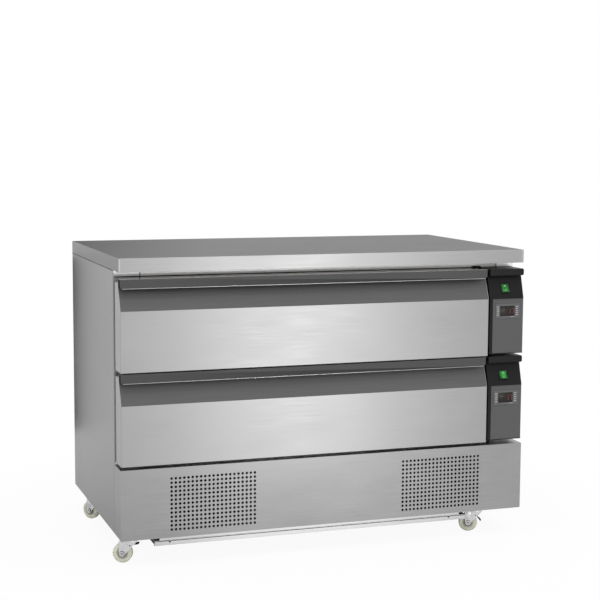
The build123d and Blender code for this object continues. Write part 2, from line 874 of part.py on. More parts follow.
def castor_fork():
    """The crown under the ball race, two cheeks, and the axle bolt with its nuts."""
    axle_x = -castor_trail
    heel = axle_x - cheek_end
    low = [(heel, wheel_radius), (heel, crown_bottom - cheek_neck),
           (heel + cheek_shoulder, crown_top), (crown_radius, crown_top),
           (crown_radius, crown_bottom), (axle_x + cheek_toe, wheel_radius - cheek_toe_drop)]
    fork = rod_z(crown_radius, crown_bottom, crown_top, 0, 0)
    fork += slab(heel + cheek_shoulder, 0, -cheek_outer, cheek_outer, crown_bottom, crown_top)
    for y0 in (-cheek_outer, cheek_inner):
        fork += along_y(low, y0, y0 + cheek)
        fork += rod_y(cheek_end, y0, y0 + cheek, axle_x, wheel_radius)
    fork -= rod_z(kingpin + pin_clearance, crown_bottom - past, crown_top + past, 0, 0)
    fork -= rod_y(axle_radius + axle_hole_clearance, -cheek_outer - past, cheek_outer + past,
                  axle_x, wheel_radius)
    fork -= rod_y(pedal_pin, -cheek_outer - past, cheek_outer + past, 0, pedal_height)
    bolt = rod_y(axle_radius, -cheek_outer - axle_proud, cheek_outer + axle_proud,
                 axle_x, wheel_radius)
    for sign in (-1, 1):
        nut = extrude(RegularPolygon(nut_radius, 6), nut_height)
        place = Pos(axle_x, sign * cheek_outer, wheel_radius) * Rot(sign * -90, 0, 0)
        bolt += place * nut
    return [fork, bolt]


def castor_wheel():
    """A moulded wheel with a rounded tread, a ring groove in each face and a raised hub."""
    half = wheel_width / 2
    shoulder = half - wheel_rim_step
    outline = [(wheel_bore, -half), (wheel_hub, -half), (groove_inner, -half + wheel_groove),
               (groove_outer, -half + wheel_groove), (wheel_rim, -shoulder),
               (wheel_radius - wheel_round, -shoulder), (wheel_radius, -shoulder + wheel_round)]
    mirrored = [(radius, -h) for radius, h in outline[::-1]]
    face = Plane.XZ * make_face(Polyline(*(outline + mirrored), close=True))
    wheel = revolve(face, Axis.Z)
    return Pos(-castor_trail, 0, wheel_radius) * Rot(90, 0, 0) * wheel


def castor_pedal(angle):
    """The brake pedal: a hub between the cheeks, a lever and a turned-up tread."""
    hub_half = cheek_inner - pedal_hub_gap
    pin_half = cheek_outer + pedal_pin_proud
    hub = rod_y(pedal_hub, -hub_half, hub_half, 0, 0)
    pin = rod_y(pedal_pin - pin_clearance, -pin_half, pin_half, 0, 0)
    lever = slab(0, pedal_length - pedal_lever_end, -pedal_lever_width / 2, pedal_lever_width / 2,
                 -pedal_sheet / 2, pedal_sheet / 2)
    tread = slab(pedal_length - pedal_tread, pedal_length, -pedal_width / 2, pedal_width / 2,
                 -pedal_sheet / 2, pedal_sheet)
    return Pos(0, 0, pedal_height) * Rot(0, -angle, 0) * (hub + pin + lever + tread)


castor_left = -half_width + castor_left_inset
castor_right = half_width - castor_right_inset
castor_front = front + castor_front_inset
castor_rear = back - castor_rear_inset

# Each castor: name, X, Y, the swivel's turn and the pedal's angle
castors = [("front_left", castor_left, castor_front, front_turn, pedal_up),
           ("front_right", castor_right, castor_front, front_turn, pedal_down),
           ("rear_left", castor_left, castor_rear, rear_left_turn, pedal_up),
           ("rear_right", castor_right, castor_rear, rear_right_turn, pedal_up)]


# Cooling machine on the base pan
condenser_y0 = frame_face + condenser_behind
condenser_y1 = condenser_y0 + condenser_depth
condenser_top = pan_top + condenser_height
fan_z = pan_top + condenser_height / 2 + fan_rise
liquid_y = condenser_y1 - condenser_depth / 4
hot_gas_y = condenser_y0 + condenser_depth / 4
first_row_z = pan_top + condenser_foot
last_row_z = first_row_z + (condenser_rows - 1) * condenser_row_pitch
box_x = half_width - box_inset
gland_x = half_width - gland_inset


def condenser():
    body = slab(condenser_x0, condenser_x0 + end_plate, condenser_y0, condenser_y1,
                pan_top, condenser_top)
    body += slab(condenser_x1 - end_plate, condenser_x1, condenser_y0, condenser_y1,
                 pan_top, condenser_top)
    fins = []
    count = int((condenser_width - 2 * fin_pitch) / fin_pitch) + 1
    for i in range(count):
        x = condenser_x0 + fin_pitch + i * fin_pitch
        fins.append(slab(x, x + fin_thickness, condenser_y0 + fin_inset, condenser_y1 - fin_inset,
                         pan_top + fin_foot, condenser_top - fin_top_gap))
    tubes = []
    for y in (hot_gas_y, liquid_y):
        for row in range(condenser_rows):
            z = first_row_z + row * condenser_row_pitch
            tubes.append(rod_x(condenser_tube / 2, condenser_x0 - condenser_tube_end,
                               condenser_x1 + condenser_tube_end, y, z))
    stub_end = condenser_x1 + stub_length
    tubes.append(rod_x(pipe_diameter / 2, condenser_x1, stub_end, hot_gas_y, last_row_z))
    tubes.append(rod_x(pipe_diameter / 2, condenser_x1, stub_end, liquid_y, first_row_z))
    return body + fins + tubes


def fan_shroud():
    """The plate and collar behind the condenser, with the motor on stays."""
    x = -grid_x
    y0 = condenser_y1
    mouth = fan_radius + fan_tip_gap
    plate = slab(condenser_x0, condenser_x1, y0, y0 + collar_sheet, pan_top, condenser_top)
    plate += rod_y(mouth + collar_sheet, y0, y0 + collar_length, x, fan_z)
    plate -= rod_y(mouth, y0 - past, y0 + collar_length + past, x, fan_z)
    motor_y = y0 + collar_length + motor_gap
    plate += rod_y(motor_radius, motor_y, motor_y + motor_length, x, fan_z)
    plate += rod_y(shaft_radius, y0 + shaft_start, motor_y + past, x, fan_z)
    arm_y = motor_y + stay_arm
    reach = stay_circle - motor_radius + stay_sink
    middle = motor_radius - stay_sink + reach / 2
    for quarter in range(4):
        turn = 45 + 90 * quarter
        stay_x = x + stay_circle * math.cos(math.radians(turn))
        stay_z = fan_z + stay_circle * math.sin(math.radians(turn))
        plate += rod_y(stay_radius, y0 + collar_sheet, arm_y + stay_radius, stay_x, stay_z)
        arm = Pos(middle, 0, 0) * Box(reach, 2 * stay_radius, 2 * stay_radius)
        plate += Pos(x, arm_y, fan_z) * Rot(0, -turn, 0) * arm
    return plate


def condenser_fan():
    y0 = condenser_y1 + fan_gap
    y1 = y0 + fan_hub_length
    root = fan_hub_radius - fan_blade_sink
    tip = fan_radius - fan_blade_tip
    fan = rod_y(fan_hub_radius, y0, y1, 0, 0)
    for i in range(fan_blades):
        blade = Rot(fan_blade_angle, 0, 0) * Box(tip - root, fan_blade_sheet, fan_blade_width)
        blade = Pos((root + tip) / 2, (y0 + y1) / 2, 0) * blade
        fan += Rot(0, 360 / fan_blades * i, 0) * blade
    fan -= rod_y(fan_bore, y0 - past, y1 + past, 0, 0)
    rim = rod_y(fan_radius, y0 - fan_blade_width, y1 + fan_blade_width, 0, 0)
    return Pos(-grid_x, 0, fan_z) * (fan & rim)


pot_bottom = pan_top + compressor_foot_height + compressor_plate
suction_z = pot_bottom + suction_rise
discharge_z = pot_bottom + discharge_rise


def compressor():
    """A welded pot on a plate with four rubber feet, a terminal cover and two stubs."""
    r = compressor_radius
    pot = rod_z(r, pot_bottom, pot_bottom + compressor_height, compressor_x, compressor_y)
    pot = fillet(pot.edges().group_by(Axis.Z)[-1], compressor_shoulder)
    plate_z = pan_top + compressor_foot_height
    half_x = compressor_foot_x + compressor_plate_margin
    half_y = compressor_foot_y + compressor_plate_margin
    pot += slab(compressor_x - half_x, compressor_x + half_x, compressor_y - half_y,
                compressor_y + half_y, plate_z, plate_z + compressor_plate)
    for x in (-compressor_foot_x, compressor_foot_x):
        for y in (-compressor_foot_y, compressor_foot_y):
            pot += rod_z(compressor_foot_radius, pan_top, plate_z,
                         compressor_x + x, compressor_y + y)
    cover_z = pot_bottom + terminal_rise
    pot += slab(compressor_x - terminal_cover / 2, compressor_x + terminal_cover / 2,
                compressor_y - r - terminal_depth, compressor_y, cover_z, cover_z + terminal_cover)
    stub = pipe_diameter / 2 + stub_wall
    pot += rod_x(stub, compressor_x - r - stub_length, compressor_x, compressor_y, discharge_z)
    pot += rod_x(stub, compressor_x, compressor_x + r + stub_length, compressor_y, suction_z)
    return pot


def refrigerant_pipes():
    """Hot gas to the condenser, liquid up to both evaporators, and suction back down."""
    upper_z, lower_z = [coil_level(top) for top in bay_tops]
    stub_x = condenser_x1 + stub_length
    radius = pipe_diameter / 2
    discharge_x = compressor_x - compressor_radius - stub_length
    intake_x = compressor_x + compressor_radius + stub_length
    hot_gas = pipe([(discharge_x, compressor_y, discharge_z), (hot_gas_x, compressor_y, discharge_z),
                    (hot_gas_x, hot_gas_y, discharge_z), (hot_gas_x, hot_gas_y, last_row_z),
                    (stub_x, hot_gas_y, last_row_z)],
                   pipe_diameter, [pipe_short_bend, pipe_bend, pipe_bend])
    liquid = pipe([(stub_x, liquid_y, first_row_z), (liquid_x, liquid_y, first_row_z),
                   (liquid_x, riser_y, first_row_z), (liquid_x, riser_y, upper_z),
                   (liquid_x, outlet_y, upper_z)],
                  pipe_diameter, [pipe_short_bend, pipe_bend, pipe_short_bend])
    liquid += rod_y(radius, outlet_y, riser_y, liquid_x, lower_z)
    suction = pipe([(intake_x, compressor_y, suction_z), (suction_x, compressor_y, suction_z),
                    (suction_x, riser_y, suction_z), (suction_x, riser_y, upper_z),
                    (suction_x, outlet_y, upper_z)],
                   pipe_diameter, [pipe_bend, pipe_bend, pipe_short_bend])
    suction += rod_y(radius, outlet_y, riser_y, suction_x, lower_z)
    return [hot_gas, liquid, suction]


def electrical_box():
    x0 = box_x - box_width / 2
    x1 = box_x + box_width / 2
    y0 = box_y - box_depth / 2
    y1 = box_y + box_depth / 2
    z1 = pan_top + box_height
    w = box_wall
    case = slab(x0, x1, y0, y1, pan_top, z1)
    case -= slab(x0 + w, x1 - w, y0 + w, y1 - w, pan_top + w, z1 + past)
    cover = slab(x0 - w, x1 + w, y0 - w, y1 + w, z1, z1 + w)
    for x in (x0 - 2 * w, x1 + w):
        cover += slab(x, x + w, y0 - w, y1 + w, z1 - box_skirt, z1 + w)
    return [case, cover]


def power_gland():
    """The cable gland in the back panel, without its cord."""
    nut = Pos(gland_x, back_inside + body_sheet, gland_z) * Rot(-90, 0, 0) * extrude(
        RegularPolygon(gland_nut, 6), body_sheet)
    stem = rod_y(gland_hole - gland_clearance, back_inside - gland_length,
                 back_inside + body_sheet, gland_x, gland_z)
    lock = Pos(gland_x, back_inside, gland_z) * Rot(90, 0, 0) * extrude(
        RegularPolygon(gland_nut, 6), gland_lock)
    bore = rod_y(gland_bore / 2, back_inside - gland_length - past, back + past, gland_x, gland_z)
    return nut + stem + lock - bore


def write(name, solids):
    """One STEP file for a sub-part, of one or more separate solids."""
    if not isinstance(solids, list):
        solids = [solids]
    pieces = [solid for shape in solids for solid in shape.solids()]
    export_step(Compound(children=pieces) if len(pieces) > 1 else pieces[0],
                "parts/" + name + ".step")


os.makedirs("parts", exist_ok=True)

write("worktop", worktop())
write("worktop_core", worktop_core())
write("side_panel_left", side_panel(-1))
write("side_panel_right", side_panel(1))
write("back_panel", back_panel())
write("top_rail", top_rail())
write("bay_wall_left", bay_wall_left())
write("bay_wall_right", bay_wall_right())
write("middle_shelf", middle_shelf())
write("bottom_deck", bottom_deck())
write("plinth_cover", plinth_cover())
write("base_pan", base_pan())
write("tray_front", tray_front())
write("condensate_tray", condensate_tray())
write("condenser", condenser())
write("fan_shroud", fan_shroud())
write("condenser_fan", condenser_fan())
write("compressor", compressor())
write("refrigerant_pipes", refrigerant_pipes())
write("electrical_box", electrical_box())
write("power_gland", power_gland())
write("evaporators", [evaporator(top) for top in bay_tops])
write("runner_channels", [rail for top in bay_tops for rail in runner_pair("fixed", top)])

for name, top in zip(bay_names, bay_tops):
    write("lid_" + name, lid(top))
    write("runner_middle_" + name, runner_pair("middle", top))
    write("runner_inner_" + name, runner_pair("inner", top))
    write("drawer_panel_" + name, drawer_panel(top))
    write("drawer_handle_" + name, drawer_handle(top))
    write("drawer_core_" + name, drawer_core(top))
    write("drawer_gasket_" + name, drawer_gasket(top))
    write("drawer_tub_" + name, drawer_tub(top))
    write("control_bezel_" + name, control_bezel(name, top))
    write("control_panel_" + name, control_panel(top))
    write("thermostat_" + name, thermostat(top))
    write("rocker_" + name, rocker(top))

write("castor_plates", [Pos(x, y, 0) * castor_plate_solid() for _, x, y, _, _ in castors])
for name, x, y, turn, pedal in castors:
    place = Pos(x, y, 0) * Rot(0, 0, turn)
    write("castor_fork_" + name, [place * solid for solid in castor_fork()])
    write("castor_wheel_" + name, place * castor_wheel())
    write("castor_pedal_" + name, place * castor_pedal(pedal))
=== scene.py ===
import bmesh
import bpy
import json
import math
from mathutils import Matrix, Vector

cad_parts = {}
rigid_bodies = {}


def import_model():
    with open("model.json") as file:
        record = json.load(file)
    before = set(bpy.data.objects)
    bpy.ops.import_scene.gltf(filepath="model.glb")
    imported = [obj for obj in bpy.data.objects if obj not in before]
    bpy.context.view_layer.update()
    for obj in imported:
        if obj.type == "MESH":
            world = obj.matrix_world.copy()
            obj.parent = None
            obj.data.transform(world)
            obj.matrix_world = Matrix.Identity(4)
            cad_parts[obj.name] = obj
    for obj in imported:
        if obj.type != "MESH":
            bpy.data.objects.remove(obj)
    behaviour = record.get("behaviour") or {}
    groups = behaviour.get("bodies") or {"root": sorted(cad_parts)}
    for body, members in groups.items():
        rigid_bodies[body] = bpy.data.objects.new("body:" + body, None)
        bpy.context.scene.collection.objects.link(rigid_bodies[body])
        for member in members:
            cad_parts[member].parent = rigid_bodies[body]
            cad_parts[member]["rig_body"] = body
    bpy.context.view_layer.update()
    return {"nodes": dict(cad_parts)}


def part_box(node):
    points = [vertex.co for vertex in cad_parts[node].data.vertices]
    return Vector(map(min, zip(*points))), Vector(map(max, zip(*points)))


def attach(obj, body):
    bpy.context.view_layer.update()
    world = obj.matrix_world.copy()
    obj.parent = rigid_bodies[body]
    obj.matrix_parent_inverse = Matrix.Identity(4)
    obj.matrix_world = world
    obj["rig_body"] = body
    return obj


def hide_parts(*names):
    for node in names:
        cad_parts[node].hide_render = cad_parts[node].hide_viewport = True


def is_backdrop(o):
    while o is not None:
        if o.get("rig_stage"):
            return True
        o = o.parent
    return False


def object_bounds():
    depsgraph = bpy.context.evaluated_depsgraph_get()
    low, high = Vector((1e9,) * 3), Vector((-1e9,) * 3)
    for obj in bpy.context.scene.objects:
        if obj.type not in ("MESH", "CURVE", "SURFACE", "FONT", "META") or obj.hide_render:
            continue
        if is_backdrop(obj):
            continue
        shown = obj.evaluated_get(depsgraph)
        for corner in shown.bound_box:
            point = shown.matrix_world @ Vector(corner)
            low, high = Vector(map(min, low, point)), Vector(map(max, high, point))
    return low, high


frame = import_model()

# The worktop: one stainless sheet folded down over a board on all four sides, with its
# corners welded and ground flush. It is brushed along its length after folding.
mm = 0.001
worktop_radius = 0.9 * mm
corner_seam = 6.0 * mm
seam_width = 0.9 * mm
seam_depth = 0.4 * mm
seam_reach = 0.5 * mm
touch = 0.1 * mm
merge_gap = 0.01 * mm
flat_angle = math.radians(1)
smooth_angle = math.radians(32)
fold_angle = math.radians(35)


def only(piece):
    """Selects one object alone and makes it the active one."""
    bpy.ops.object.select_all(action="DESELECT")
    piece.select_set(True)
    bpy.context.view_layer.objects.active = piece


def choose(piece, kind, test):
    """In edit mode, selects the edges or faces that pass a test and says how many there are."""
    bpy.ops.mesh.select_mode(type=kind)
    bpy.ops.mesh.select_all(action="DESELECT")
    mesh = bmesh.from_edit_mesh(piece.data)
    found = [part for part in (mesh.edges if kind == "EDGE" else mesh.faces) if test(part)]
    for part in found:
        part.select_set(True)
    bmesh.update_edit_mesh(piece.data)
    return len(found)


def fold_edge(edge, convex, broad):
    """True for a fold between two broad faces, and not for the cut edge of a thin sheet."""
    if len(edge.link_faces) != 2 or edge.is_convex != convex:
        return False
    if edge.calc_face_angle() < fold_angle:
        return False
    return min(face.calc_area() / face.calc_perimeter() for face in edge.link_faces) > broad


def stand_in(piece, node):
    """The piece takes the place and the movement of a CAD node, which is hidden."""
    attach(piece, frame["nodes"][node]["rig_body"])
    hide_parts(node)


folded_pieces = []


def rounded(node, name, finish, outer, inner=0.0, segments=3, broad=1.0 * mm, shape=None):
    """A merged copy of a CAD node with its folds rounded, which then stands in for it.
    The call named as shape works on it first, in edit mode."""
    piece = bpy.data.objects.new(name, frame["nodes"][node].data.copy())
    bpy.context.scene.collection.objects.link(piece)
    only(piece)
    bpy.ops.object.mode_set(mode="EDIT")
    bpy.ops.mesh.select_all(action="SELECT")
    bpy.ops.mesh.remove_doubles(threshold=merge_gap)
    bpy.ops.mesh.dissolve_limited(angle_limit=flat_angle)
    if shape:
        shape(piece)
    for radius, convex in ((outer, True), (inner, False)):
        if radius and choose(piece, "EDGE", lambda edge: fold_edge(edge, convex, broad)):
            bpy.ops.mesh.bevel(offset=radius, segments=segments, affect="EDGES",
                               clamp_overlap=True)
    bpy.ops.object.mode_set(mode="OBJECT")
    bpy.ops.object.shade_smooth_by_angle(angle=smooth_angle)
    piece.data.materials.clear()
    piece.data.materials.append(finish)
    stand_in(piece, node)
    folded_pieces.append(piece)
    return piece


def paint_faces(piece, finish, test):
    """Gives the faces that pass a test another finish."""
    piece.data.materials.append(finish)
    only(piece)
    bpy.ops.object.mode_set(mode="EDIT")
    choose(piece, "FACE", test)
    piece.active_material_index = len(piece.data.materials) - 1
    bpy.ops.object.material_slot_assign()
    bpy.ops.object.mode_set(mode="OBJECT")


def cut_seam(piece, axis, place, on_face):
    """Presses a fine line into a face: two cuts across it, and the strip pushed inwards."""
    normal = Vector([float(i == axis) for i in range(3)])
    only(piece)
    bpy.ops.object.mode_set(mode="EDIT")
    for cut in (place - seam_width / 2, place + seam_width / 2):
        bpy.ops.mesh.select_all(action="SELECT")
        bpy.ops.mesh.bisect(plane_co=normal * cut, plane_no=normal)
    chosen = choose(piece, "FACE", lambda face: on_face(face)
                    and abs(face.calc_center_median()[axis] - place) < seam_width / 2)
    if chosen:
        mesh = bmesh.from_edit_mesh(piece.data)
        outward = next(face.normal.copy() for face in mesh.faces if face.select)
        bpy.ops.mesh.extrude_region_move(
            TRANSFORM_OT_translate={"value": tuple(outward * -seam_depth)})
    bpy.ops.object.mode_set(mode="OBJECT")


class Recipe:
    """A material under construction: its nodes, and short calls that add and join them."""

    def __init__(self, name):
        self.material = bpy.data.materials.new(name)
        self.material.use_nodes = True
        self.tree = self.material.node_tree
        self.shader = self.tree.nodes["Principled BSDF"]
        self.place = self.tree.nodes.new("ShaderNodeTexCoord").outputs["Object"]

    def node(self, kind, **inputs):
        """A node whose inputs are set or joined, by name, or by number as in i3."""
        made = self.tree.nodes.new(kind)
        for key, value in inputs.items():
            numbered = key[0] == "i" and key[1:].isdigit()
            socket = made.inputs[int(key[1:]) if numbered else key.replace("_", " ")]
            if isinstance(value, bpy.types.NodeSocket):
                self.tree.links.new(value, socket)
            else:
                socket.default_value = value
        return made

    def noise(self, grain, detail=3.0, roughness=0.6):
        """Noise with this many turns a metre, the same all ways or along X, Y and Z."""
        scale = (grain, grain, grain) if isinstance(grain, float) else grain
        mapped = self.node("ShaderNodeMapping", Vector=self.place, Scale=scale)
        return self.node("ShaderNodeTexNoise", Vector=mapped.outputs[0], Scale=1.0,
                         Detail=detail, Roughness=roughness).outputs[0]

    def span(self, value, low, high, start=0.3, end=0.7):
        """The value, taken from start to end, spread from low to high."""
        return self.node("ShaderNodeMapRange", i0=value, i1=start, i2=end,
                         i3=low, i4=high).outputs[0]

    def times(self, a, b):
        """One value times another."""
        made = self.tree.nodes.new("ShaderNodeMath")
        made.operation = "MULTIPLY"
        self.tree.links.new(a, made.inputs[0])
        self.tree.links.new(b, made.inputs[1])
        return made.outputs[0]

    def shade(self, colour, amount):
        """The colour, made lighter or darker by the amount, as the base colour."""
        made = self.tree.nodes.new("ShaderNodeVectorMath")
        made.operation = "SCALE"
        made.inputs[0].default_value = colour
        self.tree.links.new(amount, made.inputs["Scale"])
        self.tree.links.new(made.outputs[0], self.shader.inputs["Base Color"])

    def mottle(self, colour, grain, low, high, detail=3.0):
        """The colour, from low to high times as light, by noise. Gives the noise."""
        noise = self.noise(grain, detail)
        self.shade(colour, self.span(noise, low, high))
        return noise

    def link(self, output, socket):
        """Joins a value to one of the shader's inputs."""
        self.tree.links.new(output, self.shader.inputs[socket])

    def bump(self, height, distance, strength=1.0):
        """Small relief from a height."""
        made = self.node("ShaderNodeBump", Height=height, Distance=distance,
                         Strength=strength)
        self.link(made.outputs[0], "Normal")

    def fix(self, **constants):
        """Sets inputs of the shader that are the same all over."""
        for name, value in constants.items():
            self.shader.inputs[name.replace("_", " ")].default_value = value


def brushed(name, grey, roughness, lines, streak=0.05, clouds=0.04, aniso=0.6, axis="X",
            edge=1.0, metallic=1.0):
    """Brushed sheet: fine lines, faint streaks and cloudy wiping marks."""
    steel = Recipe(name)
    grain = steel.noise(lines)
    smear = steel.noise((2.6, 2.6, 6.0), detail=4.0)
    steel.shade((grey, grey, grey), steel.times(steel.span(grain, 1 - streak, 1 + streak),
                                                steel.span(smear, 1 - clouds, 1 + clouds)))
    steel.link(steel.times(steel.span(grain, 0.92, 1.08),
                           steel.span(smear, roughness * 0.92, roughness * 1.08)), "Roughness")
    steel.bump(grain, 0.02 * mm, 0.35)
    steel.fix(Metallic=metallic, Anisotropic=aniso, Specular_Tint=(edge, edge, edge, 1.0))
    turn = steel.tree.nodes.new("ShaderNodeTangent")
    turn.direction_type = "RADIAL"
    turn.axis = axis
    steel.link(turn.outputs[0], "Tangent")
    return steel.material


along_x = (7.0, 420.0, 420.0)
along_y = (420.0, 7.0, 420.0)
worktop_steel = brushed("worktop_steel", 0.37, 0.42, along_x, aniso=0.8)
worktop_skin = rounded("worktop", "worktop_skin", worktop_steel, worktop_radius, segments=4)
worktop_low, worktop_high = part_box("worktop")

# The top face and the short sides are darker copies of the steel: painted shade. The
# brushing runs along the top but was done across the ends.
top_painted_shade = brushed("worktop_top_painted_shade", 0.20, 0.36, along_x, aniso=0.3, edge=0.6)
end_painted_shade = brushed("worktop_end_painted_shade", 0.155, 0.40, along_y, axis="Y")
paint_faces(worktop_skin, top_painted_shade, lambda face: face.normal.z > 0.99
            and face.calc_center_median().z > worktop_high.z - touch)
paint_faces(worktop_skin, end_painted_shade, lambda face: abs(face.normal.x) > 0.99)
for side in (-1, 1):
    cut_seam(worktop_skin, 0, side * (worktop_high.x - corner_seam),
             lambda face: face.normal.y < -0.9
             and face.calc_center_median().y < worktop_low.y + seam_reach)


# The board inside the worktop: plain chipboard that stiffens the sheet and deadens it.
# It shows only through the opening in the underside.
def dress(node, finish):
    """Gives a CAD node its finish."""
    for place in frame["nodes"][node].material_slots:
        place.link = "OBJECT"
        place.material = finish


board = Recipe("chipboard")
chips = board.mottle((0.45, 0.33, 0.20), 260.0, 0.6, 1.3, detail=5.0)
board.bump(chips, 0.3 * mm)
board.fix(Roughness=0.85)
dress("worktop_core", board.material)

# The side panels: each is one stainless sheet folded round the front as a stile and round
# the back as a flange. They are brushed from front to back.
panel_radius = 1.6 * mm
panel_inner = 0.5 * mm
side_steel = brushed("side_steel", 0.245, 0.38, along_y, streak=0.04, clouds=0.07, axis="Y")
for side in ("left", "right"):
    rounded("side_panel_" + side, "side_sheet_" + side, side_steel, panel_radius, panel_inner)

# The joint under the worktop: a thin bead of dark sealant between the worktop's folded
# edge and each side panel. The right one stays within the worktop's end.
bead_height = 2.2 * mm
bead_width = 1.2 * mm
bead_proud = 0.3 * mm
bead_within = 0.02 * mm
bead_margin = 2.0 * mm
bead_soften = 0.3 * mm


def block(name, low, high, soften=0.0, segments=2):
    """A block between two corners, with softened edges."""
    low, high = Vector(low), Vector(high)
    bpy.ops.object.select_all(action="DESELECT")
    bpy.ops.mesh.primitive_cube_add(size=1.0, location=(low + high) / 2)
    piece = bpy.context.object
    piece.name = name
    piece.scale = high - low
    bpy.ops.object.transform_apply(location=True, rotation=True, scale=True)
    if soften:
        bpy.ops.object.mode_set(mode="EDIT")
        bpy.ops.mesh.select_all(action="SELECT")
        bpy.ops.mesh.bevel(offset=soften, segments=segments, affect="EDGES")
        bpy.ops.object.mode_set(mode="OBJECT")
        bpy.ops.object.shade_smooth_by_angle(angle=smooth_angle)
    return piece


def settle(piece, finish, body):
    """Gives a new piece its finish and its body."""
    piece.data.materials.clear()
    piece.data.materials.append(finish)
    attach(piece, body)


# A dark finish for real joints, which also paints shade in grooves and along the tray rail.
sealant_and_shade = Recipe("dark_sealant_and_shade")
sealant_and_shade.mottle((0.03, 0.03, 0.03), 300.0, 0.7, 1.4)
sealant_and_shade.fix(Roughness=0.7)
frame_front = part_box("side_panel_left")[0].y
bead_spans = {"left": (worktop_low.x - bead_proud, worktop_low.x + bead_width),
              "right": (worktop_high.x - bead_width, worktop_high.x - bead_within)}
for side, (start, end) in bead_spans.items():
    bead = block("worktop_bead_" + side,
                 (start, frame_front + bead_margin, worktop_low.z - bead_height / 2),
                 (end, worktop_high.y - bead_margin, worktop_low.z + bead_height / 2),
                 bead_soften)
    settle(bead, sealant_and_shade.material, "cabinet")

# The back panel: galvanised sheet with louvre slots for the warm air, screwed to the
# flanges along its top and its foot with pan-head screws.
screw_radius = 4.0 * mm
screw_height = 1.15 * mm
screws_across = (-0.97, -0.33, 0.33, 0.97)
screws_up = (0.04, 0.96)
square_angle = math.radians(60)
head_round = 0.45
cross_reach = 0.55
cross_width = 0.28
cross_floor, cross_top = 0.4, 1.02


def round_bar(name, start, end, radius, sides=20, soften=0.0):
    """A round bar between two points, with softened ends."""
    start, end = Vector(start), Vector(end)
    turn = (end - start).to_track_quat("Z", "Y")
    bpy.ops.object.select_all(action="DESELECT")
    bpy.ops.mesh.primitive_cylinder_add(vertices=sides, radius=radius,
                                        depth=(end - start).length,
                                        location=(start + end) / 2, rotation=turn.to_euler())
    piece = bpy.context.object
    piece.name = name
    bpy.ops.object.transform_apply(location=True, rotation=True, scale=True)
    if soften:
        bpy.ops.object.mode_set(mode="EDIT")
        choose(piece, "EDGE", lambda edge: edge.calc_face_angle() > square_angle)
        bpy.ops.mesh.bevel(offset=soften, segments=2, affect="EDGES")
        bpy.ops.object.mode_set(mode="OBJECT")
    bpy.ops.object.shade_smooth_by_angle(angle=smooth_angle)
    return piece


def joined(name, pieces):
    """Several pieces made into one mesh."""
    bpy.ops.object.select_all(action="DESELECT")
    for piece in pieces:
        piece.select_set(True)
    bpy.context.view_layer.objects.active = pieces[0]
    bpy.ops.object.join()
    pieces[0].name = name
    return pieces[0]


def screw(name, place, outward, radius, height):
    """A pan-head screw with a cross cut into its head, seated on a face."""
    place, outward = Vector(place), Vector(outward)
    head = round_bar(name, place, place + outward * height, radius, 24, height * head_round)
    across = outward.orthogonal().normalized() * radius * cross_reach
    other = outward.cross(across)
    for arm, breadth in ((across, other), (other, across)):
        spots = [place + outward * height * level + arm * s + breadth * cross_width * u
                 for level in (cross_floor, cross_top) for s in (-1, 1) for u in (-1, 1)]
        low = [min(spot[i] for spot in spots) for i in range(3)]
        high = [max(spot[i] for spot in spots) for i in range(3)]
        slot = block(name + "_slot", low, high)
        only(head)
        cut = head.modifiers.new("cross", "BOOLEAN")
        cut.operation = "DIFFERENCE"
        cut.object = slot
        bpy.ops.object.modifier_apply(modifier=cut.name)
        bpy.data.objects.remove(slot)
    return head


galvanised = Recipe("galvanised_sheet")
spangle = galvanised.node("ShaderNodeTexVoronoi", Vector=galvanised.place, Scale=90.0)
tone = galvanised.span(spangle.outputs["Color"], 0.85, 1.12, 0.0, 1.0)
galvanised.shade((0.42, 0.43, 0.44), tone)
galvanised.link(galvanised.span(spangle.outputs["Color"], 0.35, 0.5, 0.0, 1.0), "Roughness")
galvanised.fix(Metallic=1.0)
dress("back_panel", galvanised.material)
zinc = Recipe("zinc_plate")
passivate = zinc.mottle((0.68, 0.68, 0.68), 30.0, 0.88, 1.08)
zinc.link(zinc.span(passivate, 0.30, 0.44), "Roughness")
zinc.bump(zinc.noise(900.0), 0.02 * mm, 0.5)
zinc.fix(Metallic=1.0)
back_low, back_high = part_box("back_panel")
back_screws = []
for x in screws_across:
    for z in screws_up:
        place = (back_high.x * x, back_high.y, back_low.z + (back_high.z - back_low.z) * z)
        back_screws.append(screw("back_screw", place, (0, 1, 0), screw_radius, screw_height))
settle(joined("back_screws", back_screws), zinc.material, "cabinet")

# The face frame and the drawer bays: stainless rails, walls and shelves, brushed across. The
# rail under the worktop has a drip groove with a dark strip of painted shade in it, which runs
# on over the stiles as a dark line of painted shade. The rail and the stiles' fronts are
# lighter copies of the steel: painted light. Sealant fills the joints at the rail's ends.
rail_radius = 0.3 * mm
groove_top, groove_foot = 18.5 * mm, 22.6 * mm
groove_lift = 2.0 * mm
groove_end = 0.1 * mm
groove_back = 3.0 * mm
strip_height = 3.2 * mm
strip_inset = 0.3 * mm
foot_inset = 0.05 * mm
foot_drop = 0.3 * mm
filler_overlap = 0.6 * mm
filler_proud, filler_depth = 0.4 * mm, 2.0 * mm
filler_foot, filler_top = 0.5 * mm, 0.2 * mm
filler_soften = 0.1 * mm
stile_margin = 3.0 * mm
stile_foot = 300.0 * mm
line_proud, line_depth = 0.15 * mm, 1.0 * mm
rail_lines = (1.5, 300.0, 300.0)
frame_steel = brushed("frame_steel", 0.46, 0.34, along_x)
# A lighter, half-matt copy of the steel for the rail: painted light.
rail_painted_light = brushed("rail_painted_light_steel", 0.93, 0.34, rail_lines, streak=0.01, clouds=0.01,
                      aniso=0.0, metallic=0.30)
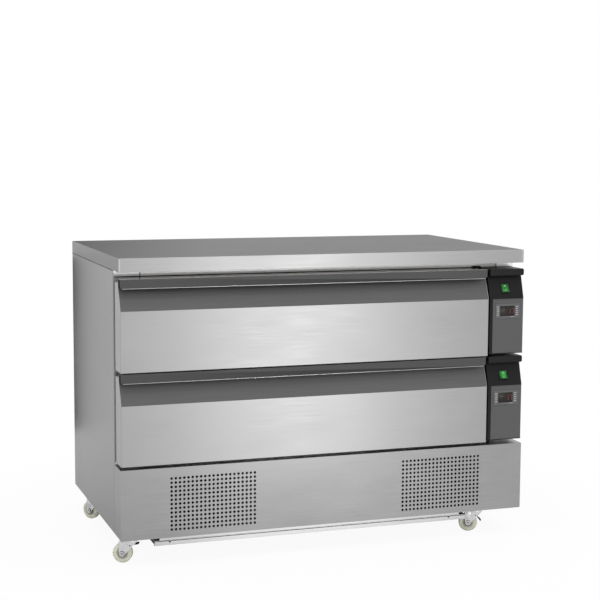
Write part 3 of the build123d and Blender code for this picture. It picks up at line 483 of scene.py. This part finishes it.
# A lighter copy of the steel for the stiles' fronts: painted light.
stile_painted_light = brushed("stile_painted_light", 0.62, 0.38, rail_lines, streak=0.01, clouds=0.01,
                      aniso=0.0)
rail_low, rail_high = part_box("top_rail")


def lift_groove(piece):
    """Moves the drip groove up, to where the photograph shows it above the drawer."""
    for vertex in bmesh.from_edit_mesh(piece.data).verts:
        if groove_top - touch < rail_high.z - vertex.co.z < groove_foot + touch:
            vertex.co.z += groove_lift


rounded("top_rail", "drip_rail", rail_painted_light, rail_radius, shape=lift_groove)
strip_top = rail_high.z + groove_lift - groove_top
strip_low = strip_top - strip_height
# A dark strip in the groove: painted shade.
strip = block("groove_shade_strip",
              (rail_low.x + groove_end, rail_low.y + strip_inset, strip_low),
              (rail_high.x - groove_end, rail_low.y + groove_back, strip_top))
foot_low = rail_high.z + groove_lift - groove_foot - foot_drop
foot = block("groove_foot",
             (rail_low.x + groove_end, rail_low.y + foot_inset, foot_low),
             (rail_high.x - groove_end, rail_low.y + groove_back, strip_low))
settle(foot, rail_painted_light, "cabinet")
settle(strip, sealant_and_shade.material, "cabinet")
# The stiles' fronts are painted light.
for side in ("left", "right"):
    paint_faces(bpy.data.objects["side_sheet_" + side], stile_painted_light,
                lambda face: face.normal.y < -0.99 and face.calc_center_median().z > stile_foot)
stile_inner = {-1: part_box("side_panel_left")[1].x, 1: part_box("side_panel_right")[0].x}
fillers = []
for side, rail_end in ((-1, rail_low.x), (1, rail_high.x)):
    near, far = sorted((rail_end, stile_inner[side]))
    fillers.append(block("filler",
                         (near - filler_overlap, rail_low.y - filler_proud,
                          rail_low.z + filler_foot),
                         (far + filler_overlap, rail_low.y + filler_depth,
                          rail_high.z - filler_top), filler_soften))
    # A dark line over each stile carries the groove's painted shade on.
    near, far = sorted((side * (worktop_high.x - stile_margin), stile_inner[side]))
    fillers.append(block("line", (near, frame_front - line_proud, strip_low),
                         (far, frame_front + line_depth, strip_top)))
settle(joined("rail_joint_sealant_and_shade_line", fillers), sealant_and_shade.material, "cabinet")
for node in ("bay_wall_left", "bay_wall_right", "middle_shelf", "bottom_deck"):
    dress(node, frame_steel)

# The drawer fronts: a stainless sheet folded into a flat face, a floor and two cheeks that
# follow the slope of the grip. The cheek has a fine joint level with the bottom of the slope.
bays = ["upper", "lower"]
front_radius, front_inner = 1.5 * mm, 0.4 * mm
slope_bottom = 87.0 * mm
least_area = 1.0 * mm * mm
front_steel = brushed("front_steel", 0.355, 0.42, along_x, streak=0.04, clouds=0.06, aniso=0.8)
cheek_steel = brushed("cheek_steel", 0.33, 0.40, along_y, axis="Y")
cheek_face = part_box("drawer_panel_upper")[0].x
for bay in bays:
    front = rounded("drawer_panel_" + bay, "drawer_front_" + bay, front_steel, front_radius,
                    front_inner)
    paint_faces(front, cheek_steel, lambda face: abs(face.normal.x) > 0.99)
    cut_seam(front, 2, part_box("drawer_handle_" + bay)[1].z - slope_bottom,
             lambda face: face.normal.x < -0.9 and face.calc_area() > least_area
             and face.calc_center_median().x < cheek_face + seam_reach)

# The grips: a dark steel profile along the top of each front, with a hanging lip, a finger
# gap behind it and a slope below it. The lip's face is a darker copy of the steel (painted
# shade) and the top face a lighter one (painted light). A hem is rolled along the lip's edge
# and up round its lower corners, in a lighter copy that paints a highlight.
lip_height = 25.0 * mm
lip_corner = 8.0 * mm
lip_inset = 4.8 * mm
lip_reach = 6.0 * mm
lip_depth = 8.0 * mm
lip_margin = 1.0 * mm
grip_radius, grip_broad = 0.5 * mm, 0.6 * mm
hem_radius = 1.4 * mm
hem_drop = 1.8 * mm
hem_gap = 0.02 * mm
hem_rise = 9.0 * mm
hem_merge = 0.005 * mm
hem_sides, hem_steps = 12, 8
grip_steel = brushed("grip_steel", 0.125, 0.56, along_x, streak=0.10, clouds=0.05, aniso=0.0)
# A darker copy for the lip's face: painted shade.
lip_painted_shade = brushed("lip_painted_shade", 0.080, 0.56, along_x, streak=0.10, clouds=0.05, aniso=0.0)
# A lighter copy for the hem: a painted highlight.
hem_painted_highlight = brushed("hem_painted_highlight", 0.46, 0.28, along_x, streak=0.12, aniso=0.2)
# A light copy for the top face: painted light.
ledge_painted_light = brushed("ledge_painted_light", 0.85, 0.20, along_x, aniso=0.0)


def reach_left(piece, low):
    """Brings the lip's left end out level with the drawer's left cheek."""
    for vertex in bmesh.from_edit_mesh(piece.data).verts:
        beside = vertex.co.x - low.x - lip_inset
        if -touch < beside < lip_corner + touch and vertex.co.y < low.y + lip_depth:
            vertex.co.x -= lip_reach


for bay in bays:
    low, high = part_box("drawer_handle_" + bay)
    grip = rounded("drawer_handle_" + bay, "grip_" + bay, grip_steel, grip_radius,
                   broad=grip_broad, shape=lambda piece: reach_left(piece, low))
    # Painted shade on the lip's face, and painted light on the top face.
    paint_faces(grip, lip_painted_shade, lambda face: face.normal.y < -0.95
                and face.calc_center_median().z > high.z - lip_height - lip_margin)
    paint_faces(grip, ledge_painted_light, lambda face: face.normal.z > 0.9
                and face.calc_center_median().z > high.z - touch)
    left, right = low.x + lip_inset - lip_reach - hem_drop, high.x - lip_inset + hem_drop
    middle = low.y + hem_radius + hem_gap
    level = high.z - lip_height - hem_drop + hem_radius
    hem = round_bar("hem_" + bay, (left + lip_corner, middle, level),
                    (right - lip_corner, middle, level), hem_radius, hem_sides)
    only(hem)
    bpy.ops.object.mode_set(mode="EDIT")
    for side, end in ((-1, left + lip_corner), (1, right - lip_corner)):
        choose(hem, "FACE", lambda face: abs(face.calc_center_median().x - end) < touch
               and abs(face.normal.x) > 0.9)
        bpy.ops.mesh.spin(steps=hem_steps, angle=-side * math.pi / 2, axis=(0, 1, 0),
                          center=(end, middle, level + lip_corner))
        bpy.ops.mesh.extrude_region_move(TRANSFORM_OT_translate={"value": (0, 0, hem_rise)})
    bpy.ops.mesh.select_all(action="SELECT")
    bpy.ops.mesh.remove_doubles(threshold=hem_merge)
    bpy.ops.mesh.normals_make_consistent(inside=False)
    bpy.ops.object.mode_set(mode="OBJECT")
    bpy.ops.object.shade_smooth_by_angle(angle=smooth_angle)
    settle(hem, hem_painted_highlight, "drawer_" + bay)

# Inside each drawer: the foam core of the front, which is faced with the same plastic as the
# tub, the rubber seal round it, and the insulated tub under its lid.
tub_rim_radius, tub_inner_radius = 2.0 * mm, 6.0 * mm
rubber = Recipe("seal_rubber")
rubber.mottle((0.025, 0.025, 0.026), 40.0, 0.7, 1.5)
rubber.bump(rubber.noise(600.0), 0.05 * mm, 0.4)
rubber.fix(Roughness=0.62)
tub_plastic = Recipe("tub_plastic")
mould = tub_plastic.mottle((0.62, 0.63, 0.63), 700.0, 0.96, 1.03, detail=2.0)
tub_plastic.bump(mould, 0.03 * mm)
tub_plastic.fix(Roughness=0.38)
for bay in bays:
    dress("drawer_core_" + bay, tub_plastic.material)
    dress("drawer_gasket_" + bay, rubber.material)
    rounded("drawer_tub_" + bay, "tub_" + bay, tub_plastic.material, tub_rim_radius,
            tub_inner_radius)
    dress("lid_" + bay, tub_plastic.material)

# The runners: bright zinc-plated channels, with a middle member that rolls between the
# fixed one and the one on the tub.
dress("runner_channels", zinc.material)
for bay in bays:
    dress("runner_middle_" + bay, zinc.material)
    dress("runner_inner_" + bay, zinc.material)

# The control housings: moulded black plastic with a fine grain, clipped beside each drawer.
# Each has a rounded cap along its top and a grey plate on its flat face.
cap_rise = 1.0 * mm
cap_height = 20.5 * mm
cap_corner = 5.0 * mm
cap_edge = 2.0 * mm
cap_depth = 5.0 * mm
tab_cut = 5.0 * mm
contact = 0.05 * mm
housing_radius, housing_broad = 0.8 * mm, 2.0 * mm
plate_radius, plate_broad = 0.5 * mm, 0.8 * mm
black = Recipe("black_plastic")
grain = black.mottle((0.008, 0.008, 0.0085), 1500.0, 0.8, 1.25, detail=2.0)
black.bump(grain, 0.02 * mm)
black.link(black.span(black.noise(9.0), 0.33, 0.41), "Roughness")
black.fix(Specular_IOR_Level=0.16)
plate_grey = Recipe("grey_plate")
film = plate_grey.mottle((0.088, 0.088, 0.090), 1100.0, 0.92, 1.08, detail=2.0)
plate_grey.bump(film, 0.015 * mm)
plate_grey.link(plate_grey.span(plate_grey.noise(7.0), 0.48, 0.6), "Roughness")
plate_grey.fix(Specular_IOR_Level=0.3)


def shape_cap(piece, bay):
    """Rounds the cap's right end and front edges, and thins the tab on its left."""
    low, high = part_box("control_bezel_" + bay)
    cap_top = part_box("drawer_handle_" + bay)[1].z + cap_rise
    for vertex in bmesh.from_edit_mesh(piece.data).verts:
        if vertex.co.z > cap_top + touch:
            vertex.co.z -= tab_cut

    def on_cap(edge, axis, place):
        """True where both ends of an edge lie on one side of the cap."""
        return all(abs(vertex.co[axis] - place) < contact
                   and vertex.co.z > cap_top - cap_height for vertex in edge.verts)

    choose(piece, "EDGE", lambda edge: on_cap(edge, 0, high.x) and edge.is_convex
           and abs(edge.verts[0].co.y - edge.verts[1].co.y) > cap_depth)
    bpy.ops.mesh.bevel(offset=cap_corner, segments=6, affect="EDGES", clamp_overlap=False)
    choose(piece, "EDGE", lambda edge: on_cap(edge, 1, low.y) and edge.is_convex
           and edge.calc_face_angle(0) > square_angle)
    bpy.ops.mesh.bevel(offset=cap_edge, segments=3, affect="EDGES", clamp_overlap=False)


for bay in bays:
    rounded("control_bezel_" + bay, "control_housing_" + bay, black.material, housing_radius,
            broad=housing_broad, shape=lambda piece: shape_cap(piece, bay))
    rounded("control_panel_" + bay, "control_plate_" + bay, plate_grey.material, plate_radius,
            broad=plate_broad)

# The thermostats: a grey snap-in case with a raised rim, a dark window with red digits and
# two small lamps, and two columns of printed keys.
case_radius, case_broad = 0.6 * mm, 0.5 * mm
rim_width, rim_depth = 1.6 * mm, 0.7 * mm
window_left, window_right = 14.5 * mm, 17.0 * mm
window_top, window_foot = 6.5 * mm, 5.5 * mm
window_proud, window_sunk = 0.35 * mm, 0.3 * mm
window_soften = 0.25 * mm
digits = (("bc", 35.0 * mm), ("abc", 24.5 * mm))
digit_height, digit_width = 15.5 * mm, 7.2 * mm
digit_drop = 1.0 * mm
stroke = 1.7 * mm
stroke_trim, stroke_gap = 0.4 * mm, 0.6 * mm
slant = math.radians(8)
lamp_spots = ((27.0 * mm, 17.5 * mm, 4.0 * mm, 2.4 * mm),
              (41.0 * mm, 12.5 * mm, 1.6 * mm, 1.6 * mm))
lamp_sunk, lamp_depth = 0.12 * mm, 0.2 * mm
key_widths = (8.5 * mm, 6.0 * mm, 7.5 * mm, 5.5 * mm, 8.0 * mm)
key_height, key_pitch = 2.2 * mm, 6.0 * mm
key_left, key_right, key_top = 8.0 * mm, 9.2 * mm, 9.0 * mm
key_sunk, key_depth = 0.1 * mm, 0.25 * mm
dash_width, dash_height = 13.0 * mm, 1.4 * mm
dash_right, dash_up = 24.0 * mm, 3.2 * mm
bar_round = 0.3
case_grey = Recipe("case_grey")
film = case_grey.mottle((0.115, 0.115, 0.118), 1300.0, 0.92, 1.08, detail=2.0)
case_grey.bump(film, 0.015 * mm)
case_grey.fix(Roughness=0.5, Specular_IOR_Level=0.35)
glass = Recipe("smoked_window")
dust = glass.mottle((0.016, 0.012, 0.011), 220.0, 0.8, 1.3)
glass.link(glass.span(dust, 0.30, 0.40), "Roughness")
glass.fix(Specular_IOR_Level=0.2)
key_print = Recipe("key_print")
key_print.mottle((0.42, 0.42, 0.42), 800.0, 0.85, 1.05)
key_print.fix(Roughness=0.6)


def lamp_material(name, colour, strength):
    """A lit segment: its colour, with a faint unevenness behind the window."""
    lit = Recipe(name)
    lit.mottle(colour, 900.0, 0.85, 1.1)
    lit.fix(Roughness=0.35, Emission_Color=(*colour, 1.0), Emission_Strength=strength)
    return lit.material


red_lamp = lamp_material("red_digits", (0.16, 0.03, 0.02), 0.35)
olive_lamp = lamp_material("olive_lamp", (0.06, 0.065, 0.015), 0.25)


def bar_mark(name, x, z, width, height, y, depth):
    """A small raised mark on a face that looks forward."""
    return block(name, (x - width / 2, y - depth, z - height / 2),
                 (x + width / 2, y, z + height / 2), min(width, height, depth) * bar_round, 1)


for bay in bays:
    low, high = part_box("thermostat_" + bay)
    case = rounded("thermostat_" + bay, "thermostat_case_" + bay, case_grey.material,
                   case_radius, broad=case_broad)
    only(case)
    bpy.ops.object.mode_set(mode="EDIT")
    choose(case, "FACE", lambda face: face.normal.y < -0.99
           and face.calc_center_median().y < low.y + contact)
    bpy.ops.mesh.inset(thickness=rim_width)
    bpy.ops.mesh.extrude_region_move(TRANSFORM_OT_translate={"value": (0, rim_depth, 0)})
    bpy.ops.object.mode_set(mode="OBJECT")
    face_y = low.y + rim_depth
    front_y = face_y - window_proud
    window = block("window_" + bay,
                   (low.x + window_left, front_y, low.z + window_foot),
                   (high.x - window_right, face_y + window_sunk, high.z - window_top),
                   window_soften)
    settle(window, glass.material, "cabinet")
    centre_z = (low.z + high.z) / 2 - digit_drop
    half_height, half_width = digit_height / 2, digit_width / 2
    spots = {"a": (0, half_height, digit_width, stroke),
             "b": (half_width, half_height / 2, stroke, half_height),
             "c": (half_width, -half_height / 2, stroke, half_height)}
    strokes = []
    for segments, from_right in digits:
        for segment in segments:
            dx, dz, width, height = spots[segment]
            mark = bar_mark("stroke", high.x - from_right + dx, centre_z + dz,
                            width - stroke_trim, height - stroke_gap, front_y + lamp_sunk,
                            lamp_depth)
            for vertex in mark.data.vertices:
                vertex.co.x += (vertex.co.z - centre_z) * math.tan(slant)
            strokes.append(mark)
    settle(joined("digits_" + bay, strokes), red_lamp, "cabinet")
    lamps = [bar_mark("lamp", low.x + across, high.z - down, width, height,
                      front_y + lamp_sunk, lamp_depth)
             for across, down, width, height in lamp_spots]
    settle(joined("status_lamps_" + bay, lamps), olive_lamp, "cabinet")
    marks = []
    for row, width in enumerate(key_widths):
        for x in (low.x + key_left, high.x - key_right):
            marks.append(bar_mark("key", x, high.z - key_top - key_pitch * row, width,
                                  key_height, face_y + key_sunk, key_depth))
    marks.append(bar_mark("key", high.x - dash_right, low.z + dash_up, dash_width,
                          dash_height, face_y + key_sunk, key_depth))
    settle(joined("keys_" + bay, marks), key_print.material, "cabinet")

# The rocker switches: green lit lenses in a black frame, which tilt on two small pins.
# Each lens is moulded with a plain ring and bar for off and on.
rocker_radius = 0.6 * mm
lens_rim = 3.6 * mm
lens_reach = 0.3 * mm
mark_height, mark_stroke = 5.2 * mm, 1.1 * mm
mark_proud = 0.15 * mm
mark_round = 0.6


def green_plastic(name, colour, glow_low, glow_high):
    """Green lens plastic, lit unevenly from behind."""
    lens = Recipe(name)
    glow = lens.mottle(colour, 75.0, 0.6, 1.3, detail=2.0)
    lens.link(lens.span(glow, glow_low, glow_high), "Emission Strength")
    lens.fix(Roughness=0.24, Emission_Color=(0.03, 0.50, 0.06, 1.0), Specular_IOR_Level=0.3)
    return lens.material


def ring_mark():
    """A flat ring, lying at the origin."""
    bpy.ops.object.select_all(action="DESELECT")
    bpy.ops.mesh.primitive_torus_add(major_radius=mark_height / 2 - mark_stroke / 2,
                                     minor_radius=mark_stroke / 2, major_segments=32,
                                     minor_segments=10)
    ring = bpy.context.object
    ring.scale.z = mark_proud / (mark_stroke / 2)
    bpy.ops.object.transform_apply(location=True, rotation=True, scale=True)
    return ring


def line_mark():
    """A flat bar, lying at the origin."""
    return block("mark", (-mark_stroke / 2, -mark_height / 2, -mark_proud),
                 (mark_stroke / 2, mark_height / 2, mark_proud), mark_proud * mark_round, 1)


green_rim = green_plastic("green_rim", (0.005, 0.035, 0.007), 0.01, 0.04)
green_lens = green_plastic("green_lens", (0.012, 0.15, 0.020), 0.05, 0.34)
mark_green = Recipe("lens_mark")
mark_green.mottle((0.30, 0.60, 0.30), 90.0, 0.9, 1.1)
mark_green.fix(Roughness=0.4, Emission_Color=(0.3, 0.7, 0.3, 1.0), Emission_Strength=0.25)
for bay in bays:
    rocker = rounded("rocker_" + bay, "rocker_switch_" + bay, green_rim, rocker_radius)
    faces = sorted(rocker.data.polygons, key=lambda face: -face.area * (face.normal.y < -0.5))
    halves = [(face.center.copy(), face.normal.copy()) for face in faces[:2]]
    halves.sort(key=lambda half: -half[0].z)
    rocker.data.materials.append(green_lens)
    only(rocker)
    bpy.ops.object.mode_set(mode="EDIT")
    choose(rocker, "FACE", lambda face: any(
        (face.calc_center_median() - centre).length < lens_reach for centre, _ in halves))
    bpy.ops.mesh.inset(thickness=lens_rim, use_boundary=True)
    rocker.active_material_index = 1
    bpy.ops.object.material_slot_assign()
    bpy.ops.object.mode_set(mode="OBJECT")
    marks = []
    for make_mark, (centre, normal) in zip((ring_mark, line_mark), halves):
        mark = make_mark()
        across = Vector((1, 0, 0))
        up = normal.cross(across).normalized()
        turn = Matrix((across, up, normal)).transposed().to_4x4()
        mark.matrix_world = Matrix.Translation(centre) @ turn
        only(mark)
        bpy.ops.object.transform_apply(location=True, rotation=True, scale=True)
        marks.append(mark)
    settle(joined("rocker_marks_" + bay, marks), mark_green.material,
           frame["nodes"]["rocker_" + bay]["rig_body"])

# The plinth cover: one perforated stainless sheet across the machine, wrapped round both
# ends and folded back along its top. The punching leaves crisp holes.
plinth_steel = brushed("plinth_steel", 0.285, 0.34, along_x, clouds=0.05, aniso=0.3)
dress("plinth_cover", plinth_steel)

# The tray under the base: a black pan for the defrost water behind a stainless rail, which
# two small screws hold. Their sockets and a band along the rail are painted dark: painted
# shade.
rail_edge = 0.4 * mm
rail_depth = 1.5 * mm
rail_foot, rail_head = 8.0 * mm, 4.0 * mm
shadow_band = 2.0 * mm
socket_rim = 0.9 * mm
socket_depth = 0.5 * mm
rail_steel = brushed("rail_steel", 0.50, 0.36, along_x)
tray_low, tray_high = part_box("tray_front")
tray_rail = rounded("tray_front", "tray_rail", rail_steel, rail_edge)
face_levels = sorted({round(vertex.co.z, 5) for vertex in tray_rail.data.vertices
                      if abs(vertex.co.y - tray_low.y) < rail_depth})
rail_levels = [z for z in face_levels if tray_low.z + rail_foot < z < tray_high.z - rail_head]
shadow_level = sum(rail_levels) / len(rail_levels)
only(tray_rail)
bpy.ops.object.mode_set(mode="EDIT")
# A band along the rail's front is painted dark: a painted shadow.
for cut in (shadow_level - shadow_band / 2, shadow_level + shadow_band / 2):
    bpy.ops.mesh.select_all(action="SELECT")
    bpy.ops.mesh.bisect(plane_co=(0, 0, cut), plane_no=(0, 0, 1))
bpy.ops.object.mode_set(mode="OBJECT")
paint_faces(tray_rail, sealant_and_shade.material, lambda face: face.normal.y < -0.5
            and abs(face.calc_center_median().z - shadow_level) < shadow_band / 2)
# The screws' sockets are pushed in and painted dark: painted shade.
only(tray_rail)
bpy.ops.object.mode_set(mode="EDIT")
choose(tray_rail, "FACE", lambda face: face.normal.y < -0.99
       and face.calc_center_median().y < tray_low.y + contact)
bpy.ops.mesh.inset(thickness=socket_rim)
bpy.ops.mesh.extrude_region_move(TRANSFORM_OT_translate={"value": (0, socket_depth, 0)})
bpy.ops.object.material_slot_assign()
bpy.ops.object.mode_set(mode="OBJECT")
dress("condensate_tray", black.material)

# The castors: zinc-plated plates and forks, cream nylon wheels with grey hubs, and black
# brake pedals. The ring round each hub is a darker copy of the nylon: painted shade. Each
# cheek of a fork has a pressed rib above the axle, and a dark grey ring under the axle's nut
# that paints the nut's shadow; the bolt's end stands out of the nut in the same dark grey.
turns = {"front_left": -23.0, "front_right": -23.0, "rear_left": -50.0, "rear_right": -35.0}
wheel_edge = 0.6 * mm
hub_radius = 12.6 * mm
groove_radius = 17.0 * mm
cheek_outer = 13.2 * mm
rib_half = 7.0 * mm
rib_height = 0.7 * mm
rib_sunk = 0.05 * mm
rib_soften = 0.3 * mm
rib_top = 59.0 * mm
rib_foot = 10.0 * mm
shadow_ring_radius = 7.2 * mm
ring_height = 0.5 * mm
nut_height = 3.5 * mm
bolt_end_radius = 2.6 * mm
bolt_end_proud = 0.3 * mm
ring_sides = 28
ring_soften = 0.15 * mm
nylon = Recipe("cream_nylon")
haze = nylon.mottle((0.74, 0.73, 0.60), 90.0, 0.92, 1.06)
nylon.link(nylon.span(haze, 0.36, 0.5), "Roughness")
nylon.fix(Subsurface_Weight=0.1)
# Grey for the hubs, also used for the painted shadow round the axle nuts.
hub_and_shadow_grey = Recipe("hub_and_shadow_grey")
hub_and_shadow_grey.mottle((0.16, 0.16, 0.17), 120.0, 0.8, 1.2)
hub_and_shadow_grey.fix(Roughness=0.5)
# The ring round the hub is a darker copy of the nylon: painted shade.
groove_shade_tan = Recipe("groove_shade_tan")
groove_shade_tan.mottle((0.46, 0.45, 0.36), 200.0, 0.85, 1.12)
groove_shade_tan.fix(Roughness=0.6)
dress("castor_plates", zinc.material)


def within(face, hub, axis, radius):
    """True for a face of a wheel that lies wholly nearer to the axle's line than a radius."""
    offsets = [vertex.co - hub for vertex in face.verts]
    return max((offset - axis * offset.dot(axis)).length for offset in offsets) < radius


for corner, degrees in turns.items():
    turn = math.radians(degrees)
    low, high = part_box("castor_wheel_" + corner)
    hub = (low + high) / 2
    axis = Vector((-math.sin(turn), math.cos(turn), 0))
    wheel = rounded("castor_wheel_" + corner, "wheel_" + corner, nylon.material, wheel_edge)
    paint_faces(wheel, groove_shade_tan.material, lambda face: within(face, hub, axis, groove_radius))
    paint_faces(wheel, hub_and_shadow_grey.material, lambda face: within(face, hub, axis, hub_radius))
    dress("castor_fork_" + corner, zinc.material)
    ribs = []
    rings = []
    for side in (-1, 1):
        outward = axis * side
        rib = block("rib", (-rib_half, -rib_height / 2, rib_foot),
                    (rib_half, rib_height / 2, rib_top - hub.z), rib_soften)
        rib_place = hub + outward * (cheek_outer + rib_height / 2 - rib_sunk)
        rib.matrix_world = Matrix.Translation(rib_place) @ Matrix.Rotation(turn, 4, "Z")
        only(rib)
        bpy.ops.object.transform_apply(location=True, rotation=True, scale=True)
        ribs.append(rib)
        # The dark grey ring on the cheek paints the nut's shadow; the bolt's end is dark grey
        # too.
        nut_face = cheek_outer + nut_height
        for radius, start, end in (
                (shadow_ring_radius, cheek_outer, cheek_outer + ring_height),
                (bolt_end_radius, nut_face - ring_height, nut_face + bolt_end_proud)):
            rings.append(round_bar("ring", hub + outward * start, hub + outward * end, radius,
                                   ring_sides, ring_soften))
    settle(joined("fork_ribs_" + corner, ribs), zinc.material, "castor_fork_" + corner)
    settle(joined("axle_dark_rings_" + corner, rings), hub_and_shadow_grey.material, "castor_fork_" + corner)
    dress("castor_pedal_" + corner, black.material)

# The cooling machine: a black-coated condenser with its fan, a black compressor, copper
# pipes, and the electrical box and base pan of galvanised sheet, painted dark as the shade
# inside the machine.
# Galvanised sheet painted dark: the shade inside the machine.
shaded_sheet = Recipe("shaded_galvanised")
shaded_sheet.mottle((0.075, 0.077, 0.08), 35.0, 0.8, 1.15)
shaded_sheet.fix(Metallic=0.8, Roughness=0.6)
aluminium = Recipe("bare_aluminium")
aluminium.mottle((0.62, 0.63, 0.64), (8.0, 300.0, 300.0), 0.92, 1.05)
aluminium.fix(Metallic=1.0, Roughness=0.4)
fins = Recipe("black_coated_fins")
fins.mottle((0.022, 0.022, 0.023), 60.0, 0.8, 1.3)
fins.fix(Roughness=0.55)
copper = Recipe("copper_tube")
copper.mottle((0.62, 0.31, 0.17), 50.0, 0.75, 1.1)
copper.fix(Metallic=1.0, Roughness=0.32)
paint = Recipe("black_paint")
flow = paint.mottle((0.015, 0.015, 0.016), 220.0, 0.9, 1.1)
paint.bump(flow, 0.05 * mm)
paint.fix(Roughness=0.3)
dress("base_pan", shaded_sheet.material)
dress("electrical_box", shaded_sheet.material)
dress("condenser", fins.material)
dress("evaporators", aluminium.material)
dress("fan_shroud", black.material)
dress("condenser_fan", black.material)
dress("compressor", paint.material)
dress("refrigerant_pipes", copper.material)
dress("power_gland", black.material)

# The folded sheets and the moulded parts: their smooth shading is weighted by the size of
# the faces, so that broad faces stay flat to the eye and only the folds look round.
for piece in folded_pieces:
    only(piece)
    weighted = piece.modifiers.new("weighted", "WEIGHTED_NORMAL")
    weighted.mode = "FACE_AREA"
    weighted.weight = 100
    weighted.keep_sharp = True
    bpy.ops.object.modifier_apply(modifier=weighted.name)

# The studio's floor: a pale ground that fades to white, where it is seen and where metal
# mirrors it, and that keeps the counter's shadow.
white = 1.0
floor_size = 60.0
floor_grey = (0.80, 0.80, 0.80, 1)
bpy.ops.object.select_all(action="DESELECT")
bpy.ops.mesh.primitive_plane_add(size=floor_size, location=(0, 0, 0))
floor = bpy.context.object
floor.name = "floor"
floor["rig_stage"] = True
ground = bpy.data.materials.new("studio_floor")
ground.use_nodes = True
tree = ground.node_tree
tree.nodes.clear()


def combine(operation, a, b):
    """Adds or multiplies two values in the tree at hand, and keeps the result below one."""
    made = tree.nodes.new("ShaderNodeMath")
    made.operation = operation
    made.use_clamp = True
    tree.links.new(a, made.inputs[0])
    tree.links.new(b, made.inputs[1])
    return made.outputs[0]


def fade_out(near, far, start, end):
    """A value that goes from near to far with the distance from the counter's centre."""
    spot = tree.nodes.new("ShaderNodeTexCoord")
    distance = tree.nodes.new("ShaderNodeVectorMath")
    distance.operation = "LENGTH"
    tree.links.new(spot.outputs["Object"], distance.inputs[0])
    made = tree.nodes.new("ShaderNodeMapRange")
    made.interpolation_type = "SMOOTHSTEP"
    made.inputs["From Min"].default_value = start
    made.inputs["From Max"].default_value = end
    made.inputs["To Min"].default_value = near
    made.inputs["To Max"].default_value = far
    tree.links.new(distance.outputs["Value"], made.inputs["Value"])
    return made.outputs[0]


ray = tree.nodes.new("ShaderNodeLightPath")
in_view = combine("MULTIPLY", ray.outputs["Is Camera Ray"],
                  fade_out(near=0.94, far=1.0, start=0.6, end=1.6))
mirrored = combine("ADD", ray.outputs["Is Glossy Ray"], ray.outputs["Is Transmission Ray"])
mirrored = combine("MULTIPLY", mirrored, fade_out(near=0.25, far=1.0, start=0.6, end=2.6))
matt = tree.nodes.new("ShaderNodeBsdfDiffuse")
matt.inputs["Color"].default_value = floor_grey
bright = tree.nodes.new("ShaderNodeEmission")
bright.inputs["Strength"].default_value = white
mixed = tree.nodes.new("ShaderNodeMixShader")
tree.links.new(combine("ADD", in_view, mirrored), mixed.inputs[0])
tree.links.new(matt.outputs[0], mixed.inputs[1])
tree.links.new(bright.outputs[0], mixed.inputs[2])
tree.links.new(mixed.outputs[0], tree.nodes.new("ShaderNodeOutputMaterial").inputs[0])
floor.data.materials.append(ground)

# The studio's air: white where it is seen and where metal mirrors it, and a softer fill
# light on everything else.
fill_light = 0.75
world = bpy.data.worlds.new("studio")
world.use_nodes = True
bpy.context.scene.world = world
tree = world.node_tree
ray = tree.nodes.new("ShaderNodeLightPath")
seen = combine("ADD", ray.outputs["Is Camera Ray"],
               combine("ADD", ray.outputs["Is Glossy Ray"], ray.outputs["Is Transmission Ray"]))
level = tree.nodes.new("ShaderNodeMapRange")
level.inputs["To Min"].default_value = fill_light
level.inputs["To Max"].default_value = white
tree.links.new(seen, level.inputs["Value"])
tree.nodes["Background"].inputs["Color"].default_value = (1, 1, 1, 1)
tree.links.new(level.outputs[0], tree.nodes["Background"].inputs["Strength"])


# The lamps: a small softbox low in front, which the brushed fronts spread into a pale band,
# and a large one overhead.
def softbox(name, place, target, width, height, power):
    """A rectangular area lamp that faces a point."""
    lamp = bpy.data.lights.new(name, "AREA")
    lamp.shape = "RECTANGLE"
    lamp.size = width
    lamp.size_y = height
    lamp.energy = power
    holder = bpy.data.objects.new(name, lamp)
    bpy.context.scene.collection.objects.link(holder)
    holder.location = place
    holder.rotation_euler = (Vector(target) - Vector(place)).to_track_quat("-Z", "Y").to_euler()


softbox("front_softbox", place=(1.22, -4.35, 0.27), target=(0.1, 0, 0.4), width=0.8,
        height=0.50, power=27)
softbox("top_softbox", place=(0.3, -0.9, 3.8), target=(0.3, 0, 0.4), width=4.4,
        height=2.4, power=72)

# Two dark flags stand behind the counter, out of the camera's sight. The one behind the top
# darkens what its rear left corner mirrors, and fades to white towards its right end. The
# other darkens what the side panel mirrors along its rear.
flags = {"top_flag": ((-0.95, 1.5, 0.93), (0.16, 1.51, 1.6)),
         "side_flag": ((-0.69, 0.6, 0.20), (-0.62, 0.61, 0.78))}
fade_start, fade_end = -0.66, 0.16
flag_cloth = Recipe("flag_cloth")
flag_cloth.mottle((0.02, 0.02, 0.02), 60.0, 0.8, 1.2)
flag_cloth.fix(Roughness=0.95, Specular_IOR_Level=0.1, Emission_Color=(1.0, 1.0, 1.0, 1.0))
across = flag_cloth.node("ShaderNodeSeparateXYZ", Vector=flag_cloth.place).outputs["X"]
flag_cloth.link(flag_cloth.span(across, 0.0, white, fade_start, fade_end), "Emission Strength")
for name, (flag_low, flag_high) in flags.items():
    flag = block(name, flag_low, flag_high)
    flag.data.materials.append(flag_cloth.material)
    flag.visible_camera = False
    flag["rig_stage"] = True

# The camera: the photograph's view. Its lens, place and turn were fitted to the counter's
# corners, and the picture keeps the colours as they are rendered.
camera_lens = 86.111
camera_place = (-1.3997, -4.1188, 1.1726)
camera_turn = (83.576, -0.310, -19.066)
camera = bpy.data.objects.new("camera", bpy.data.cameras.new("camera"))
bpy.context.scene.collection.objects.link(camera)
camera.data.lens = camera_lens
camera.location = camera_place
camera.rotation_euler = [math.radians(angle) for angle in camera_turn]
bpy.context.scene.camera = camera
bpy.context.scene.view_settings.view_transform = "Standard"

low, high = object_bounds()
